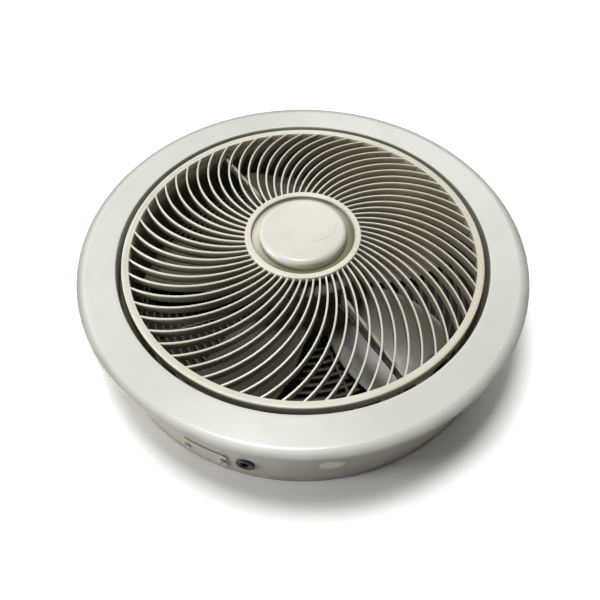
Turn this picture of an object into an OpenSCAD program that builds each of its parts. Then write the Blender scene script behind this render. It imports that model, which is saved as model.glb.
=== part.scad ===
// Round ceiling fan for a lift car, lying on its back with the grille facing up.
// The axis is the fan's own axis and z = 0 is the rear rim that it rests on.

/* [Bezel] */
// Outside diameter of the trim ring
flange_d = 397; // [394:1:410]
// Width of the trim ring's face, from its edge to the opening
face_w = 33.5; // [31.5:0.5:35]
// Height of the trim ring's lip above the ceiling panel
lip_h = 7; // [6:0.5:9]
// Wall of the moulded trim ring
bezel_wall = 3; // [2.4:0.1:3.2]
// Width of the sloping band along the outer edge
edge_w = 8; // [7:0.5:9]
// Depth of the collar inside the opening
collar_h = 17; // [16:0.5:18]

/* [Drum] */
// How far the trim ring stands out past the drum's wall
overhang = 14.5; // [13.5:0.5:16]
// Sheet thickness of the drum
drum_wall = 1.5; // [1:0.1:1.8]
// Height of the grille's face plane above the rear rim
body_h = 78; // [77:0.5:84]
// Thickness of the flange that is screwed to the ceiling
ceiling_flange_t = 2; // [1.5:0.1:2.4]
// Radius of the ceiling screw holes
ceiling_hole_r = 2.75; // [2:0.05:3]
// Width of the terminal cover on the drum's side
cover_w = 40; // [36:1:44]
// Height of the terminal cover
cover_h = 20; // [18:0.5:22]
// Radius of the cable inlet
inlet_r = 6; // [4:0.25:6.5]

/* [Air path] */
// How far the throat lies inside the grille's opening
throat_step = 8; // [7:0.5:9]
// Wall of the moulded air guide
shroud_wall = 2; // [1.6:0.1:2.4]
// Height of the throat's edge, where the inlet starts to flare
throat_h = 41; // [38:0.5:44]
// Thickness of the rear guard's bars
guard_t = 2.5; // [2:0.1:3]
// Width of one ring of the rear guard
guard_bar_w = 2.6; // [2:0.1:3.2]
// Distance from ring to ring of the rear guard
guard_pitch = 7; // [6.5:0.1:8]
// Number of spokes of the rear guard
guard_spokes = 8; // [8:8:16]

/* [Grille] */
// Gap between the turning grille and the trim ring
grille_gap = 5; // [4:0.1:5.5]
// Width of the grille's outer ring
ring_w = 6.2; // [5:0.1:7]
// Depth of the grille's outer ring
ring_h = 9; // [8:0.25:9.5]
// Number of curved louvres
rib_count = 60; // [48:1:66]
// Width of one louvre
rib_w = 1.7; // [1.3:0.1:2]
// Depth of one louvre
rib_h = 8; // [6:0.25:8.5]
// Radius that each louvre follows in plan
rib_arc_r = 100.5; // [98:0.5:104]
// Distance from the axis to the centre of that arc
rib_arc_offset = 102; // [100:0.5:105]
// Rise of the louvres from the outer ring to the hub
dome_rise = 14; // [13:0.25:16]
// Diameter of the hub
hub_d = 102; // [96:1:108]
// Width of the flat ring around the hub
hub_ring_w = 5.4; // [4:0.1:6.5]
// Depth of the dish inside the hub
dish_depth = 6.2; // [5:0.1:6.6]
// Diameter of the centre cap
cap_d = 76.4; // [70:0.1:80]
// Height of the cap above the hub ring
cap_rise = 5.3; // [4:0.1:6.5]

/* [Impeller] */
// Gap between the blades' tips and the throat
blade_gap = 7; // [5:0.5:11]
// Number of blades
blade_count = 5; // [4:1:5]
// Thickness of a blade
blade_t = 2.2; // [1.8:0.1:2.8]
// Pitch of a blade
blade_pitch = 21; // [18:0.5:23]
// Diameter of the impeller's hub
cup_d = 120; // [117:1:124]
// Height of the hub's front face
cup_top = 43; // [42.5:0.25:44.5]

/* [Motor] */
// Diameter of the stator
stator_d = 92; // [88:1:96]
// Height of the laminated stack
stack_h = 14; // [12:0.5:14.5]
// Diameter of the rotor
rotor_d = 52; // [48:0.5:54]
// Diameter of the motor shaft
shaft_d = 8; // [7:0.1:9]
// Outside diameter of the ball bearings
bearing_d = 22; // [20:0.5:23]

/* [Grille drive] */
// Diameter of the drive housing
housing_d = 124; // [118:1:130]
// Diameter of the gear motor
gearmotor_d = 52; // [46:1:60]
// Diameter of the spindle inside the gear motor
spindle_d = 8; // [7:0.1:9]
// Width of the crossbar's arms
arm_w = 3; // [2.4:0.1:5]
// Height of the crossbar's arms at their outer ends
arm_h = 8; // [7:0.25:8.5]
// Extra height of the arms where they meet the drive housing
arm_rise = 7; // [4:0.5:8]
// Direction of the crossbar
arm_az = -58; // [-60:1:-54]

/* [Hidden] */
$fn = 96;
hole_fn = 32;
wire_fn = 48;
rib_fn = 256;
blade_fn = 360;
dome_fn = 1440;
cut = 1;
reach = 6;

// Preview colours
cream = [0.88, 0.87, 0.80];
off_white = [0.90, 0.90, 0.87];
drum_paint = [0.80, 0.80, 0.75];
pale_grey = [0.78, 0.78, 0.76];
cast_metal = [0.75, 0.76, 0.77];
near_black = [0.15, 0.15, 0.15];

// Clearances
run_gap = 0.05;
fit_gap = 0.1;
seat_gap = 0.3;
tip_gap = 2;

// Radii from the diameters
flange_r = flange_d / 2;
opening_d = flange_d - 2 * face_w;
opening_r = opening_d / 2;
drum_d = flange_d - 2 * overhang;
drum_r = drum_d / 2;
drum_in_r = drum_r - drum_wall;
throat_d = opening_d - 2 * throat_step;
throat_r = throat_d / 2;
grille_r = opening_r - grille_gap;
rib_out_r = grille_r - ring_w;
hub_r = hub_d / 2;
cap_r = cap_d / 2;
cup_r = cup_d / 2;
housing_r = housing_d / 2;
shaft_r = shaft_d / 2;
spindle_r = spindle_d / 2;
stator_r = stator_d / 2;
bearing_r = bearing_d / 2;

// Heights in the stack
lip_z = body_h - lip_h;
seat_z = body_h - collar_h;
rim_t = 1.5;
guard_z = rim_t + 2;
deck_z = guard_z + guard_t;

// Trim ring
inner_round = 0.8;
face_fall = 0.8;
nose_w = 2.5;
nose_h = 1.25;
nose_start = 60;
nose_drop = 3.55;
tuck_w = 3;
rim_w = 2;
collar_wall = 2.5;
collar_r = opening_r + collar_wall;
bezel_boss_r = 4;
bezel_boss_out = 6.5;
bezel_boss_at = collar_r + bezel_boss_out;
bezel_pilot_r = 1.4;
bezel_pilot_l = 10;
fixings = 6;
fixing_az = 30;

// Drum
ceiling_flange_r = flange_r - tuck_w - rim_w - seat_gap;
ceiling_hole_at = (drum_r + ceiling_flange_r) / 2;
ceiling_holes = 4;
rear_rim_w = 8;
side_fixings = 4;
side_az = 45;
side_drop = 7;
side_z = seat_z - side_drop;
side_hole_r = 2.1;
side_head_r = 3.8;

// Air guide
flare_w = 10;
flare_end_drop = 2;
flare_h = seat_z - flare_end_drop - throat_h;
flare_sweep = 78;
shroud_flange_t = 2.2;
shroud_r = drum_in_r - seat_gap;
side_block_turn = 4;
side_block_h = 10;
side_block_l = 11;
side_block_z = seat_z - shroud_flange_t - side_block_h;
side_pilot_r = 1.6;
post_r = 5;
post_out = 1.5;
post_at = throat_r + post_out;
post_l = 12;
post_drop = 20;
post_z = body_h - post_drop;
post_pilot_r = 1.5;
guard_boss_r = 4;
boss_overlap = 1;
guard_boss_at = throat_r + shroud_wall + guard_boss_r - boss_overlap;
guard_boss_h = 20;
guard_pilot_r = 1.3;

// Rear guard
guard_rim_w = 12;
guard_out_r = drum_in_r - seat_gap;
deck_margin = 15;
motor_deck_r = stator_r + deck_margin;
slot_inset = 3;
slot_zone_r = throat_r - slot_inset;
guard_spoke_w = 3;
spoke_az = -115;

// Side fittings
cover_az = -115;
cover_t = 1.2;
cover_z = 7;
cover_corner = 3;
cover_screw_inset = 4;
cover_screw_turn = asin((cover_w / 2 - cover_screw_inset) / drum_r);
cover_screw_z = cover_z + cover_h / 2;
cover_pilot_r = 1.3;
window_inset_w = 8;
window_inset_h = 3;
window_w = cover_w - 2 * window_inset_w;
window_h = cover_h - 2 * window_inset_h;
inlet_az = -104;
inlet_z = 22;
grommet_lip = 2;
grommet_bevel = 1;
grommet_wall = 2;
grommet_hole_r = inlet_r - grommet_wall;
label_az = -83;
label_z = 30;
label_w = 20;
label_h = 13;
label_t = 0.3;
label_points = 40;

// Terminal block and capacitor
block_w = 32;
block_d = 12;
block_h = 14;
block_step = 2;
block_gap = 8;
block_at = throat_r + shroud_wall + block_gap;
block_ways = 4;
block_pitch = 7.5;
way_r = 1.6;
way_head_r = 2.5;
way_head_h = 1;
capacitor_az = -62;
capacitor_w = 34;
capacitor_d = 13;
capacitor_h = 24;
capacitor_gap = 5;
capacitor_at = throat_r + shroud_wall + capacitor_gap;
clip_t = 1;
clip_w = 10;
clip_foot = 2;
capacitor_lead_r = 1.2;
capacitor_lead_at = (throat_r + shroud_wall + drum_in_r) / 2;
capacitor_lead_h = 4;
capacitor_lead_z = deck_z + capacitor_lead_h;

// Motor
bell_wall = 2.5;
bell_rim = 1;
bell_r = stator_r + bell_rim;
bell_lip = 1.5;
bell_side = 2;
bell_chamfer = 2;
bell_hole_r = shaft_r + 1.5;
bearing_l = 7;
bearing_pocket_wall = 3;
bearing_bare = 1.5;
race_w = 2.5;
race_step = 0.5;
rear_bell_z = deck_z;
rear_bell_h = 9;
stack_z = rear_bell_z + rear_bell_h;
stack_top = stack_z + stack_h;
front_bell_h = 5.5;
front_bell_z = stack_top + front_bell_h;
front_bell_top = front_bell_z + bell_wall;
air_gap = 0.4;
rotor_r = rotor_d / 2;
core_in_r = rotor_r + air_gap;
slot_count = 12;
tooth_tip = 3;
back_iron = 9;
slot_in_r = core_in_r + tooth_tip;
slot_out_r = stator_r - back_iron;
slot_w = 6;
winding_gap = 0.2;
winding_in_r = slot_in_r + winding_gap;
winding_out_r = slot_out_r - winding_gap;
winding_h = 4;
bolt_inset = 4;
bolt_at = stator_r - bolt_inset;
bolt_r = 2;
bolt_count = 4;
bolt_az = 45;
bolt_head_r = 3.6;
bolt_head_h = 2.2;
bolt_nut_r = 4;
shaft_out = 10;
shaft_bottom = rear_bell_z + bell_wall + seat_gap;
shaft_top = cup_top + shaft_out;
lead_r = 1.5;
lead_wire_r = lead_r - fit_gap;
ball_swell = 0.1;
rotor_recess = 2.5;
rotor_ring_w = 8;
rotor_low = stack_z - 1;
rotor_high = stack_top + 0.5;

// Impeller
impeller_d = throat_d - 2 * blade_gap;
impeller_r = impeller_d / 2;
cup_wall = 2.5;
cup_bottom = 13;
cup_round = 4;
boss_r = 9;
boss_gap = 0.9;
boss_bottom = front_bell_top + boss_gap;
blade_camber_r = 150;
blade_steps = 8;
blade_z = 23;
blade_lead_root = 26;
blade_lead_tip = 46;
blade_trail_root = 27;
blade_trail_tip = 34;
blade_bow = 7;
blade_low = 11;
blade_high = 45;
blade_az = 30;
washer_r = 10;
washer_t = 1.5;
nut_r = 7.6;
nut_h = 6;

// Grille drive
housing_rise = 3.5;
housing_top = body_h + housing_rise;
housing_wall = 2.5;
housing_round = 3;
drive_gap = 4;
arm_z = post_z;
housing_bottom = shaft_top + drive_gap;
deck_in_z = housing_top - housing_wall;
drive_cover_t = 2;
plate_t = 2.5;
plate_z = deck_in_z - plate_t;
ear_out = 6;
ear_at = gearmotor_d / 2 + ear_out;
ear_r = 5;
ear_screw_r = 1.7;
pad_r = 5.5;
pad_t = 3;
bush_wall = 2.2;
bush_flange = 1.4;
bush_flange_t = 0.8;
blind_depth = 9;
spindle_end_gap = 0.5;
lead_rise = 5;
lead_drop = 2.5;
lead_high_z = housing_bottom + lead_rise;
lead_low_z = arm_z - lead_drop;
lead_beside = arm_w / 2 + lead_r;
lead_aside = post_r + 2 * lead_r;
lead_turn_r = throat_r + flare_w + boss_overlap;
lead_leaves_arm = 6;
lead_meets_post = 2;
lead_block_turn = 3;
head_r = 3.2;
head_h = 1.8;

// Grille
arc_phase = 2.2;
rib_drop = 0.8;
rib_top_z = body_h - rib_drop;
dome_r = (pow(rib_out_r, 2) - pow(hub_r, 2)) / (2 * dome_rise);
dome_apex = rib_top_z + dome_r - sqrt(pow(dome_r, 2) - pow(rib_out_r, 2));
ring_step = 0.5;
ring_edge = 0.8;
ring_chamfer = 1;
hub_lift = 1.5;
hub_edge = 0.6;
hub_chamfer = 2;
hub_top = rib_top_z + dome_rise + hub_lift;
dish_r = hub_r - hub_ring_w;
dish_z = hub_top - dish_depth;
dish_round = 4;
dish_t = 2;
hub_skirt_z = dish_z - dish_t;
grille_boss_r = 7.5;
grille_boss_h = 5.5;
thread_step = 1;
thread_r = spindle_r - thread_step;
rib_root = 0.6;

// Cap
cap_top = hub_top + cap_rise;
cap_wall = 2.2;
cap_round = 4;
cap_crown = 0.9;
cap_snap_wall = 2;
cap_snap_gap = 0.25;
spindle_nut_h = 3;
spindle_nut_r = 5.2;

// Points along a part of an ellipse, from angle a0 to a1
function arc(cx, cy, rx, ry, a0, a1, steps) =
    [for (i = [0 : steps]) let (a = a0 + (a1 - a0) * i / steps) [cx + rx * cos(a), cy + ry * sin(a)]];

// A ring with a plain rectangular section
module tube(r_out, r_in, z0, z1) {
    rotate_extrude() translate([r_in, z0]) square([r_out - r_in, z1 - z0]);
}

// Places its children at a radius, a direction and a height
module polar(az, r, z) {
    rotate([0, 0, az]) translate([r, 0, z]) children();
}

// Repeats its children evenly around the axis
module around(count, az = 0) {
    for (i = [0 : count - 1]) rotate([0, 0, az + i * 360 / count]) children();
}

// A screw with its head on the plane z = 0 and its shank below
module screw(hr, hh, sr, sl) {
    difference() {
        union() {
            translate([0, 0, -sl]) cylinder(r = sr, h = sl + hh / 2);
            cylinder(r = hr, h = hh);
        }
        for (turn = [0, 90]) rotate([0, 0, turn])
            translate([-hr / 2, -hh / 6, hh / 2]) cube([hr, hh / 3, hh]);
    }
}

// A straight run of round wire between two points
module wire(a, b, r) {
    d = b - a;
    len = norm(d);
    translate(a) rotate([0, acos(d[2] / len), atan2(d[1], d[0])]) cylinder(r = r, h = len);
}

// Round wire along straight runs, with a ball at each turn
module wire_path(points, r) {
    for (i = [1 : len(points) - 1]) {
        wire(points[i - 1], points[i], r);
        translate(points[i]) sphere(r = r + ball_swell, $fn = wire_fn);
    }
}

// Housing: trim ring, drum, air guide and rear guard

module bezel_profile() {
    polygon(concat(
        [[opening_r, seat_z]],
        arc(opening_r + inner_round, body_h - inner_round, inner_round, inner_round, 180, 90, 4),
        [[flange_r - edge_w, body_h - face_fall]],
        arc(flange_r - nose_w, body_h - nose_drop, nose_w, nose_h, nose_start, 0, 6),
        [[flange_r - tuck_w, lip_z],
         [flange_r - tuck_w - rim_w, lip_z],
         [flange_r - tuck_w - rim_w, body_h - face_fall - bezel_wall],
         [collar_r, body_h - bezel_wall],
         [collar_r, seat_z]]
    ));
}

module bezel() {
    color(off_white) difference() {
        union() {
            rotate_extrude() bezel_profile();
            around(fixings, fixing_az) translate([bezel_boss_at, 0, seat_z])
                cylinder(r = bezel_boss_r, h = body_h - face_fall - bezel_wall / 2 - seat_z);
        }
        around(fixings, fixing_az) translate([bezel_boss_at, 0, seat_z - cut])
            cylinder(r = bezel_pilot_r, h = bezel_pilot_l + cut, $fn = hole_fn);
    }
}

module bezel_screws() {
    color("silver") around(fixings, fixing_az)
        translate([bezel_boss_at, 0, seat_z - shroud_flange_t]) mirror([0, 0, 1])
            screw(head_r, head_h, bezel_pilot_r, shroud_flange_t + bezel_pilot_l - tip_gap);
}

// A round hole through the drum's wall
module side_hole(az, z, r) {
    polar(az, drum_r - reach, z) rotate([0, 90, 0]) cylinder(r = r, h = 2 * reach, $fn = wire_fn);
}

module casing() {
    color(drum_paint) difference() {
        union() {
            tube(drum_r, drum_in_r, 0, lip_z + ceiling_flange_t);
            tube(ceiling_flange_r, drum_in_r, lip_z, lip_z + ceiling_flange_t);
            tube(drum_r, drum_r - rear_rim_w, 0, rim_t);
        }
        around(ceiling_holes) translate([ceiling_hole_at, 0, lip_z - cut])
            cylinder(r = ceiling_hole_r, h = ceiling_flange_t + 2 * cut);
        around(side_fixings, side_az) side_hole(0, side_z, side_hole_r);
        side_hole(inlet_az, inlet_z, inlet_r);
        polar(cover_az, drum_r, cover_screw_z)
            cube([2 * reach, window_w, window_h], center = true);
        for (side = [-1, 1]) side_hole(cover_az + side * cover_screw_turn, cover_screw_z, cover_pilot_r);
    }
}

module flare_profile() {
    polygon(concat(
        [[throat_r, deck_z]],
        arc(throat_r + flare_w, throat_h, flare_w, flare_h, 180, 180 - flare_sweep, 8),
        [[throat_r + flare_w, seat_z],
         [shroud_r, seat_z],
         [shroud_r, seat_z - shroud_flange_t],
         [throat_r + flare_w, seat_z - shroud_flange_t]],
        arc(throat_r + flare_w, throat_h, flare_w - shroud_wall, flare_h - shroud_wall,
            180 - flare_sweep, 180, 8),
        [[throat_r + shroud_wall, deck_z]]
    ));
}

module shroud() {
    color(cream) difference() {
        union() {
            rotate_extrude() flare_profile();
            around(side_fixings, side_az - side_block_turn / 2)
                rotate_extrude(angle = side_block_turn) translate([shroud_r - side_block_l, side_block_z])
                    square([side_block_l - fit_gap, side_block_h + shroud_flange_t / 2]);
            around(2, arm_az) translate([post_at, 0, post_z - post_l]) cylinder(r = post_r, h = post_l);
            around(fixings, fixing_az) translate([guard_boss_at, 0, deck_z + fit_gap])
                cylinder(r = guard_boss_r, h = guard_boss_h);
        }
        around(2, arm_az) translate([post_at, 0, post_z - post_l + tip_gap])
            cylinder(r = post_pilot_r, h = post_l, $fn = hole_fn);
        around(fixings, fixing_az) {
            translate([bezel_boss_at, 0, seat_z - shroud_flange_t - cut])
                cylinder(r = bezel_pilot_r + seat_gap, h = shroud_flange_t + 2 * cut, $fn = hole_fn);
            translate([guard_boss_at, 0, deck_z - cut])
                cylinder(r = guard_pilot_r, h = guard_boss_h - tip_gap, $fn = hole_fn);
        }
        around(side_fixings, side_az) translate([shroud_r - side_block_l + tip_gap, 0, side_z])
            rotate([0, 90, 0]) cylinder(r = side_pilot_r, h = side_block_l, $fn = hole_fn);
        polar(spoke_az, throat_r - cut, deck_z - cut) translate([0, -lead_r - seat_gap, 0])
            cube([shroud_wall + 2 * cut, 2 * (lead_r + seat_gap), 2 * lead_r + cut + seat_gap]);
        polar(arm_az, throat_r - cut, lead_low_z) translate([0, -lead_aside, 0])
            rotate([0, 90, 0]) cylinder(r = lead_r + seat_gap, h = flare_w + cut, $fn = wire_fn);
    }
}

module drum_screws() {
    color("silver") around(side_fixings, side_az)
        translate([drum_r, 0, side_z]) rotate([0, 90, 0])
            screw(side_head_r, head_h, side_pilot_r, drum_wall + side_block_l - tip_gap - cut);
}

module guard_rings_2d() {
    rings = floor((slot_zone_r - motor_deck_r) / guard_pitch);
    for (i = [1 : rings]) let (r = motor_deck_r + i * guard_pitch)
        difference() {
            circle(r = r);
            circle(r = r - guard_bar_w);
        }
    for (i = [0 : guard_spokes - 1]) rotate(spoke_az + i * 360 / guard_spokes)
        translate([motor_deck_r - cut, -guard_spoke_w / 2])
            square([slot_zone_r - motor_deck_r + 2 * cut, guard_spoke_w]);
    circle(r = motor_deck_r);
    difference() {
        circle(r = guard_out_r);
        circle(r = slot_zone_r);
    }
}

module rear_guard() {
    color(cream) difference() {
        union() {
            translate([0, 0, guard_z]) linear_extrude(guard_t) guard_rings_2d();
            tube(guard_out_r, guard_out_r - guard_rim_w, rim_t, guard_z + guard_t / 2);
        }
        around(fixings, fixing_az) translate([guard_boss_at, 0, 0])
            cylinder(r = guard_pilot_r + seat_gap, h = deck_z + cut, $fn = hole_fn);
        around(bolt_count, bolt_az) translate([bolt_at, 0, 0])
            cylinder(r = bolt_r + fit_gap, h = deck_z + cut, $fn = hole_fn);
    }
}

module guard_screws() {
    color("silver") around(fixings, fixing_az)
        translate([guard_boss_at, 0, guard_z]) mirror([0, 0, 1])
            screw(head_r, head_h, guard_pilot_r, guard_t + guard_boss_h - 3 * tip_gap);
}

// Terminals, capacitor and what is on the drum's side

// A curved plate that lies on the drum's wall
module drum_patch(az, z, thickness) {
    intersection() {
        tube(drum_r + thickness, drum_r, 0, lip_z);
        polar(az, drum_r - reach, z) rotate([90, 0, 90]) linear_extrude(2 * reach) children();
    }
}

module rounded_rectangle(w, h, corner) {
    for (x = [-1, 1], y = [-1, 1]) translate([x * (w / 2 - corner), y * (h / 2 - corner)]) circle(r = corner);
    square([w, h - 2 * corner], center = true);
    square([w - 2 * corner, h], center = true);
}

module terminal_cover() {
    color(drum_paint) difference() {
        drum_patch(cover_az, cover_screw_z, cover_t) rounded_rectangle(cover_w, cover_h, cover_corner);
        for (side = [-1, 1])
            side_hole(cover_az + side * cover_screw_turn, cover_screw_z, cover_pilot_r + fit_gap);
    }
}

module cover_screws() {
    color("silver") for (side = [-1, 1])
        polar(cover_az + side * cover_screw_turn, drum_r + cover_t, cover_screw_z)
            rotate([0, 90, 0]) screw(head_r, head_h, cover_pilot_r, cover_t + drum_wall + tip_gap);
}

module terminal_block() {
    way_z = deck_z + block_h;
    color(cream) difference() {
        polar(cover_az, block_at, deck_z) translate([0, -block_w / 2, 0]) {
            cube([block_d, block_w, block_h - 2 * block_step]);
            translate([block_step, 0, 0]) cube([block_d - 2 * block_step, block_w, block_h]);
        }
        for (i = [0 : block_ways - 1]) polar(cover_az, block_at, way_z)
            translate([block_d / 2, (i - (block_ways - 1) / 2) * block_pitch, -block_h / 2])
                cylinder(r = way_r, h = block_h, $fn = hole_fn);
    }
}

module terminal_screws() {
    color("goldenrod") for (i = [0 : block_ways - 1]) polar(cover_az, block_at, deck_z + block_h)
        translate([block_d / 2, (i - (block_ways - 1) / 2) * block_pitch, 0])
            screw(way_head_r, way_head_h, way_r - fit_gap, block_h / 2 - tip_gap);
}

module cable_grommet() {
    color(near_black) polar(inlet_az, drum_r, inlet_z) rotate([0, 90, 0]) rotate_extrude()
        polygon([
            [grommet_hole_r, -drum_wall - grommet_lip],
            [inlet_r + grommet_lip - grommet_bevel, -drum_wall - grommet_lip],
            [inlet_r + grommet_lip, -drum_wall - seat_gap],
            [inlet_r - fit_gap, -drum_wall - seat_gap],
            [inlet_r - fit_gap, seat_gap],
            [inlet_r + grommet_lip, seat_gap],
            [inlet_r + grommet_lip - grommet_bevel, grommet_lip],
            [grommet_hole_r, grommet_lip]
        ]);
}

module run_capacitor() {
    color(near_black) polar(capacitor_az, capacitor_at, deck_z)
        translate([0, -capacitor_w / 2, 0]) cube([capacitor_d, capacitor_w, capacitor_h]);
}

module capacitor_clip() {
    outer_h = capacitor_h + clip_t + fit_gap;
    color("silver") polar(capacitor_az, capacitor_at, deck_z) rotate([90, 0, 0])
        linear_extrude(clip_w, center = true) difference() {
            union() {
                translate([-clip_t - fit_gap, 0])
                    square([capacitor_d + 2 * (clip_t + fit_gap), outer_h]);
                translate([-clip_t - fit_gap - clip_foot, 0]) square([clip_foot + clip_t, clip_t]);
            }
            translate([-fit_gap, -cut]) square([capacitor_d + 2 * fit_gap, capacitor_h + cut + fit_gap]);
        }
}

module rating_label() {
    color(off_white) drum_patch(label_az, label_z, label_t)
        polygon(arc(0, 0, label_w / 2, label_h / 2, 0, 360 - 360 / label_points, label_points - 1));
}

module capacitor_lead() {
    start = capacitor_az - asin(capacitor_w / 2 / capacitor_lead_at);
    end = cover_az + asin(block_w / 2 / capacitor_lead_at);
    color(near_black) rotate([0, 0, end]) rotate_extrude(angle = start - end)
        translate([capacitor_lead_at, capacitor_lead_z]) circle(r = capacitor_lead_r, $fn = wire_fn);
}

// Motor

module bolt_holes(z0, z1) {
    around(bolt_count, bolt_az) translate([bolt_at, 0, z0 - cut])
        cylinder(r = bolt_r + fit_gap, h = z1 - z0 + 2 * cut, $fn = hole_fn);
}

module motor_rear_bell() {
    color(cast_metal) difference() {
        rotate_extrude() polygon([
            [0, rear_bell_z], [bell_r, rear_bell_z], [bell_r, stack_z + bell_lip],
            [stator_r, stack_z + bell_lip], [stator_r, stack_z],
            [stator_r - bell_side, stack_z], [stator_r - bell_side, rear_bell_z + bell_wall],
            [bearing_r + bearing_pocket_wall, rear_bell_z + bell_wall],
            [bearing_r + bearing_pocket_wall, rear_bell_z + bell_wall + bearing_l],
            [bearing_r, rear_bell_z + bell_wall + bearing_l], [bearing_r, rear_bell_z + bell_wall],
            [0, rear_bell_z + bell_wall]
        ]);
        bolt_holes(rear_bell_z, stack_z);
    }
}

module motor_front_bell() {
    color(cast_metal) difference() {
        rotate_extrude() polygon([
            [bell_hole_r, front_bell_top], [bell_r - bell_chamfer, front_bell_top],
            [bell_r, front_bell_top - bell_chamfer], [bell_r, stack_top - bell_lip],
            [stator_r, stack_top - bell_lip], [stator_r, stack_top],
            [stator_r - bell_side, stack_top], [stator_r - bell_side, front_bell_z],
            [bearing_r + bearing_pocket_wall, front_bell_z],
            [bearing_r + bearing_pocket_wall, front_bell_z - bearing_l + bearing_bare],
            [bearing_r, front_bell_z - bearing_l + bearing_bare], [bearing_r, front_bell_z],
            [bell_hole_r, front_bell_z]
        ]);
        bolt_holes(stack_top - bell_lip, front_bell_top);
    }
}

module slots_2d(gap) {
    for (i = [0 : slot_count - 1]) rotate(i * 360 / slot_count)
        translate([slot_in_r + gap, -slot_w / 2 + gap])
            square([slot_out_r - slot_in_r - 2 * gap, slot_w - 2 * gap]);
}

module stator_core() {
    color([0.42, 0.42, 0.44]) difference() {
        translate([0, 0, stack_z]) linear_extrude(stack_h) difference() {
            circle(r = stator_r);
            circle(r = core_in_r);
            slots_2d(0);
        }
        bolt_holes(stack_z, stack_top);
    }
}

module stator_winding() {
    color([0.72, 0.40, 0.20]) {
        translate([0, 0, stack_z - winding_gap]) linear_extrude(stack_h + 2 * winding_gap)
            slots_2d(winding_gap);
        for (z = [stack_z - winding_gap - winding_h, stack_top + winding_gap])
            tube(winding_out_r, winding_in_r, z, z + winding_h);
    }
}

module motor_bearings() {
    inner_race = shaft_r + run_gap + race_w;
    outer_race = bearing_r - race_w;
    color("gainsboro") for (z = [rear_bell_z + bell_wall, front_bell_z - bearing_l])
        rotate_extrude() polygon([
            [shaft_r + run_gap, z], [inner_race, z], [inner_race, z + race_step],
            [outer_race, z + race_step], [outer_race, z], [bearing_r, z], [bearing_r, z + bearing_l],
            [outer_race, z + bearing_l], [outer_race, z + bearing_l - race_step],
            [inner_race, z + bearing_l - race_step], [inner_race, z + bearing_l],
            [shaft_r + run_gap, z + bearing_l]
        ]);
}

module motor_bolts() {
    color("silver") around(bolt_count, bolt_az) translate([bolt_at, 0, front_bell_top])
        screw(bolt_head_r, bolt_head_h, bolt_r, front_bell_top - guard_z + bolt_head_h);
}

module motor_nuts() {
    color("silver") around(bolt_count, bolt_az) translate([bolt_at, 0, guard_z - bolt_head_h])
        difference() {
            cylinder(r = bolt_nut_r, h = bolt_head_h, $fn = 6);
            translate([0, 0, -cut])
                cylinder(r = bolt_r + fit_gap / 2, h = bolt_head_h + 2 * cut, $fn = hole_fn);
        }
}

module motor_lead() {
    z = deck_z + lead_r;
    color(near_black) polar(spoke_az, 0, 0) wire([bell_r, 0, z], [block_at, 0, z], lead_wire_r);
}

// Impeller

// One edge of a blade in plan, from the hub to the tip
function blade_edge(root, tip, bow) =
    let (inner = cup_r - cup_wall, span = impeller_r + 2 * cut - inner)
    [for (i = [0 : blade_steps]) let (t = i / blade_steps)
        [inner + t * span, root + (tip - root) * t + bow * sin(180 * t)]];

function reverse(points) = [for (i = [len(points) - 1 : -1 : 0]) points[i]];

module blade_outline() {
    intersection() {
        difference() {
            circle(r = impeller_r);
            circle(r = cup_r - cup_wall / 2);
        }
        polygon(concat(
            blade_edge(-blade_lead_root, -blade_lead_tip, -blade_bow),
            reverse(blade_edge(blade_trail_root, blade_trail_tip, blade_bow))
        ));
    }
}

module blade() {
    intersection() {
        translate([0, 0, blade_low]) linear_extrude(blade_high - blade_low) blade_outline();
        translate([0, 0, blade_z]) rotate([blade_pitch, 0, 0]) translate([0, 0, blade_camber_r])
            rotate([0, 90, 0]) difference() {
                cylinder(r = blade_camber_r + blade_t / 2, h = impeller_r + cut, $fn = blade_fn);
                translate([0, 0, -cut])
                    cylinder(r = blade_camber_r - blade_t / 2, h = impeller_r + 3 * cut, $fn = blade_fn);
            }
    }
}

module impeller() {
    color(pale_grey) {
        rotate_extrude() polygon(concat(
            [[shaft_r + run_gap, boss_bottom], [boss_r, boss_bottom], [boss_r, cup_top - cup_wall],
             [cup_r - cup_wall, cup_top - cup_wall], [cup_r - cup_wall, cup_bottom],
             [cup_r, cup_bottom]],
            arc(cup_r - cup_round, cup_top - cup_round, cup_round, cup_round, 0, 90, 5),
            [[shaft_r + run_gap, cup_top]]
        ));
        around(blade_count, blade_az) blade();
    }
}

module motor_shaft() {
    color("silver") translate([0, 0, shaft_bottom]) cylinder(r = shaft_r, h = shaft_top - shaft_bottom);
}

module rotor() {
    ring_in_r = rotor_r - rotor_ring_w;
    color([0.60, 0.61, 0.63]) rotate_extrude() polygon([
        [shaft_r + run_gap, rotor_low + rotor_recess], [ring_in_r, rotor_low + rotor_recess],
        [ring_in_r, rotor_low], [rotor_r, rotor_low], [rotor_r, rotor_high], [ring_in_r, rotor_high],
        [ring_in_r, rotor_high - rotor_recess], [shaft_r + run_gap, rotor_high - rotor_recess]
    ]);
}

module impeller_washer() {
    color("silver") tube(washer_r, shaft_r + run_gap, cup_top, cup_top + washer_t);
}

module impeller_nut() {
    color("silver") translate([0, 0, cup_top + washer_t]) difference() {
        cylinder(r = nut_r, h = nut_h, $fn = 6);
        translate([0, 0, -cut]) cylinder(r = shaft_r + run_gap, h = nut_h + 2 * cut);
    }
}

// Grille drive: crossbar, gear motor and what holds it

// One arm seen from the side, deeper at the housing than at the post
module arm_side() {
    root = housing_r - housing_wall / 2;
    end = post_at - pad_r + boss_overlap;
    polygon([
        [root, arm_z], [end, arm_z], [end, arm_z + arm_h], [root, arm_z + arm_h + arm_rise]
    ]);
}

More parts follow.
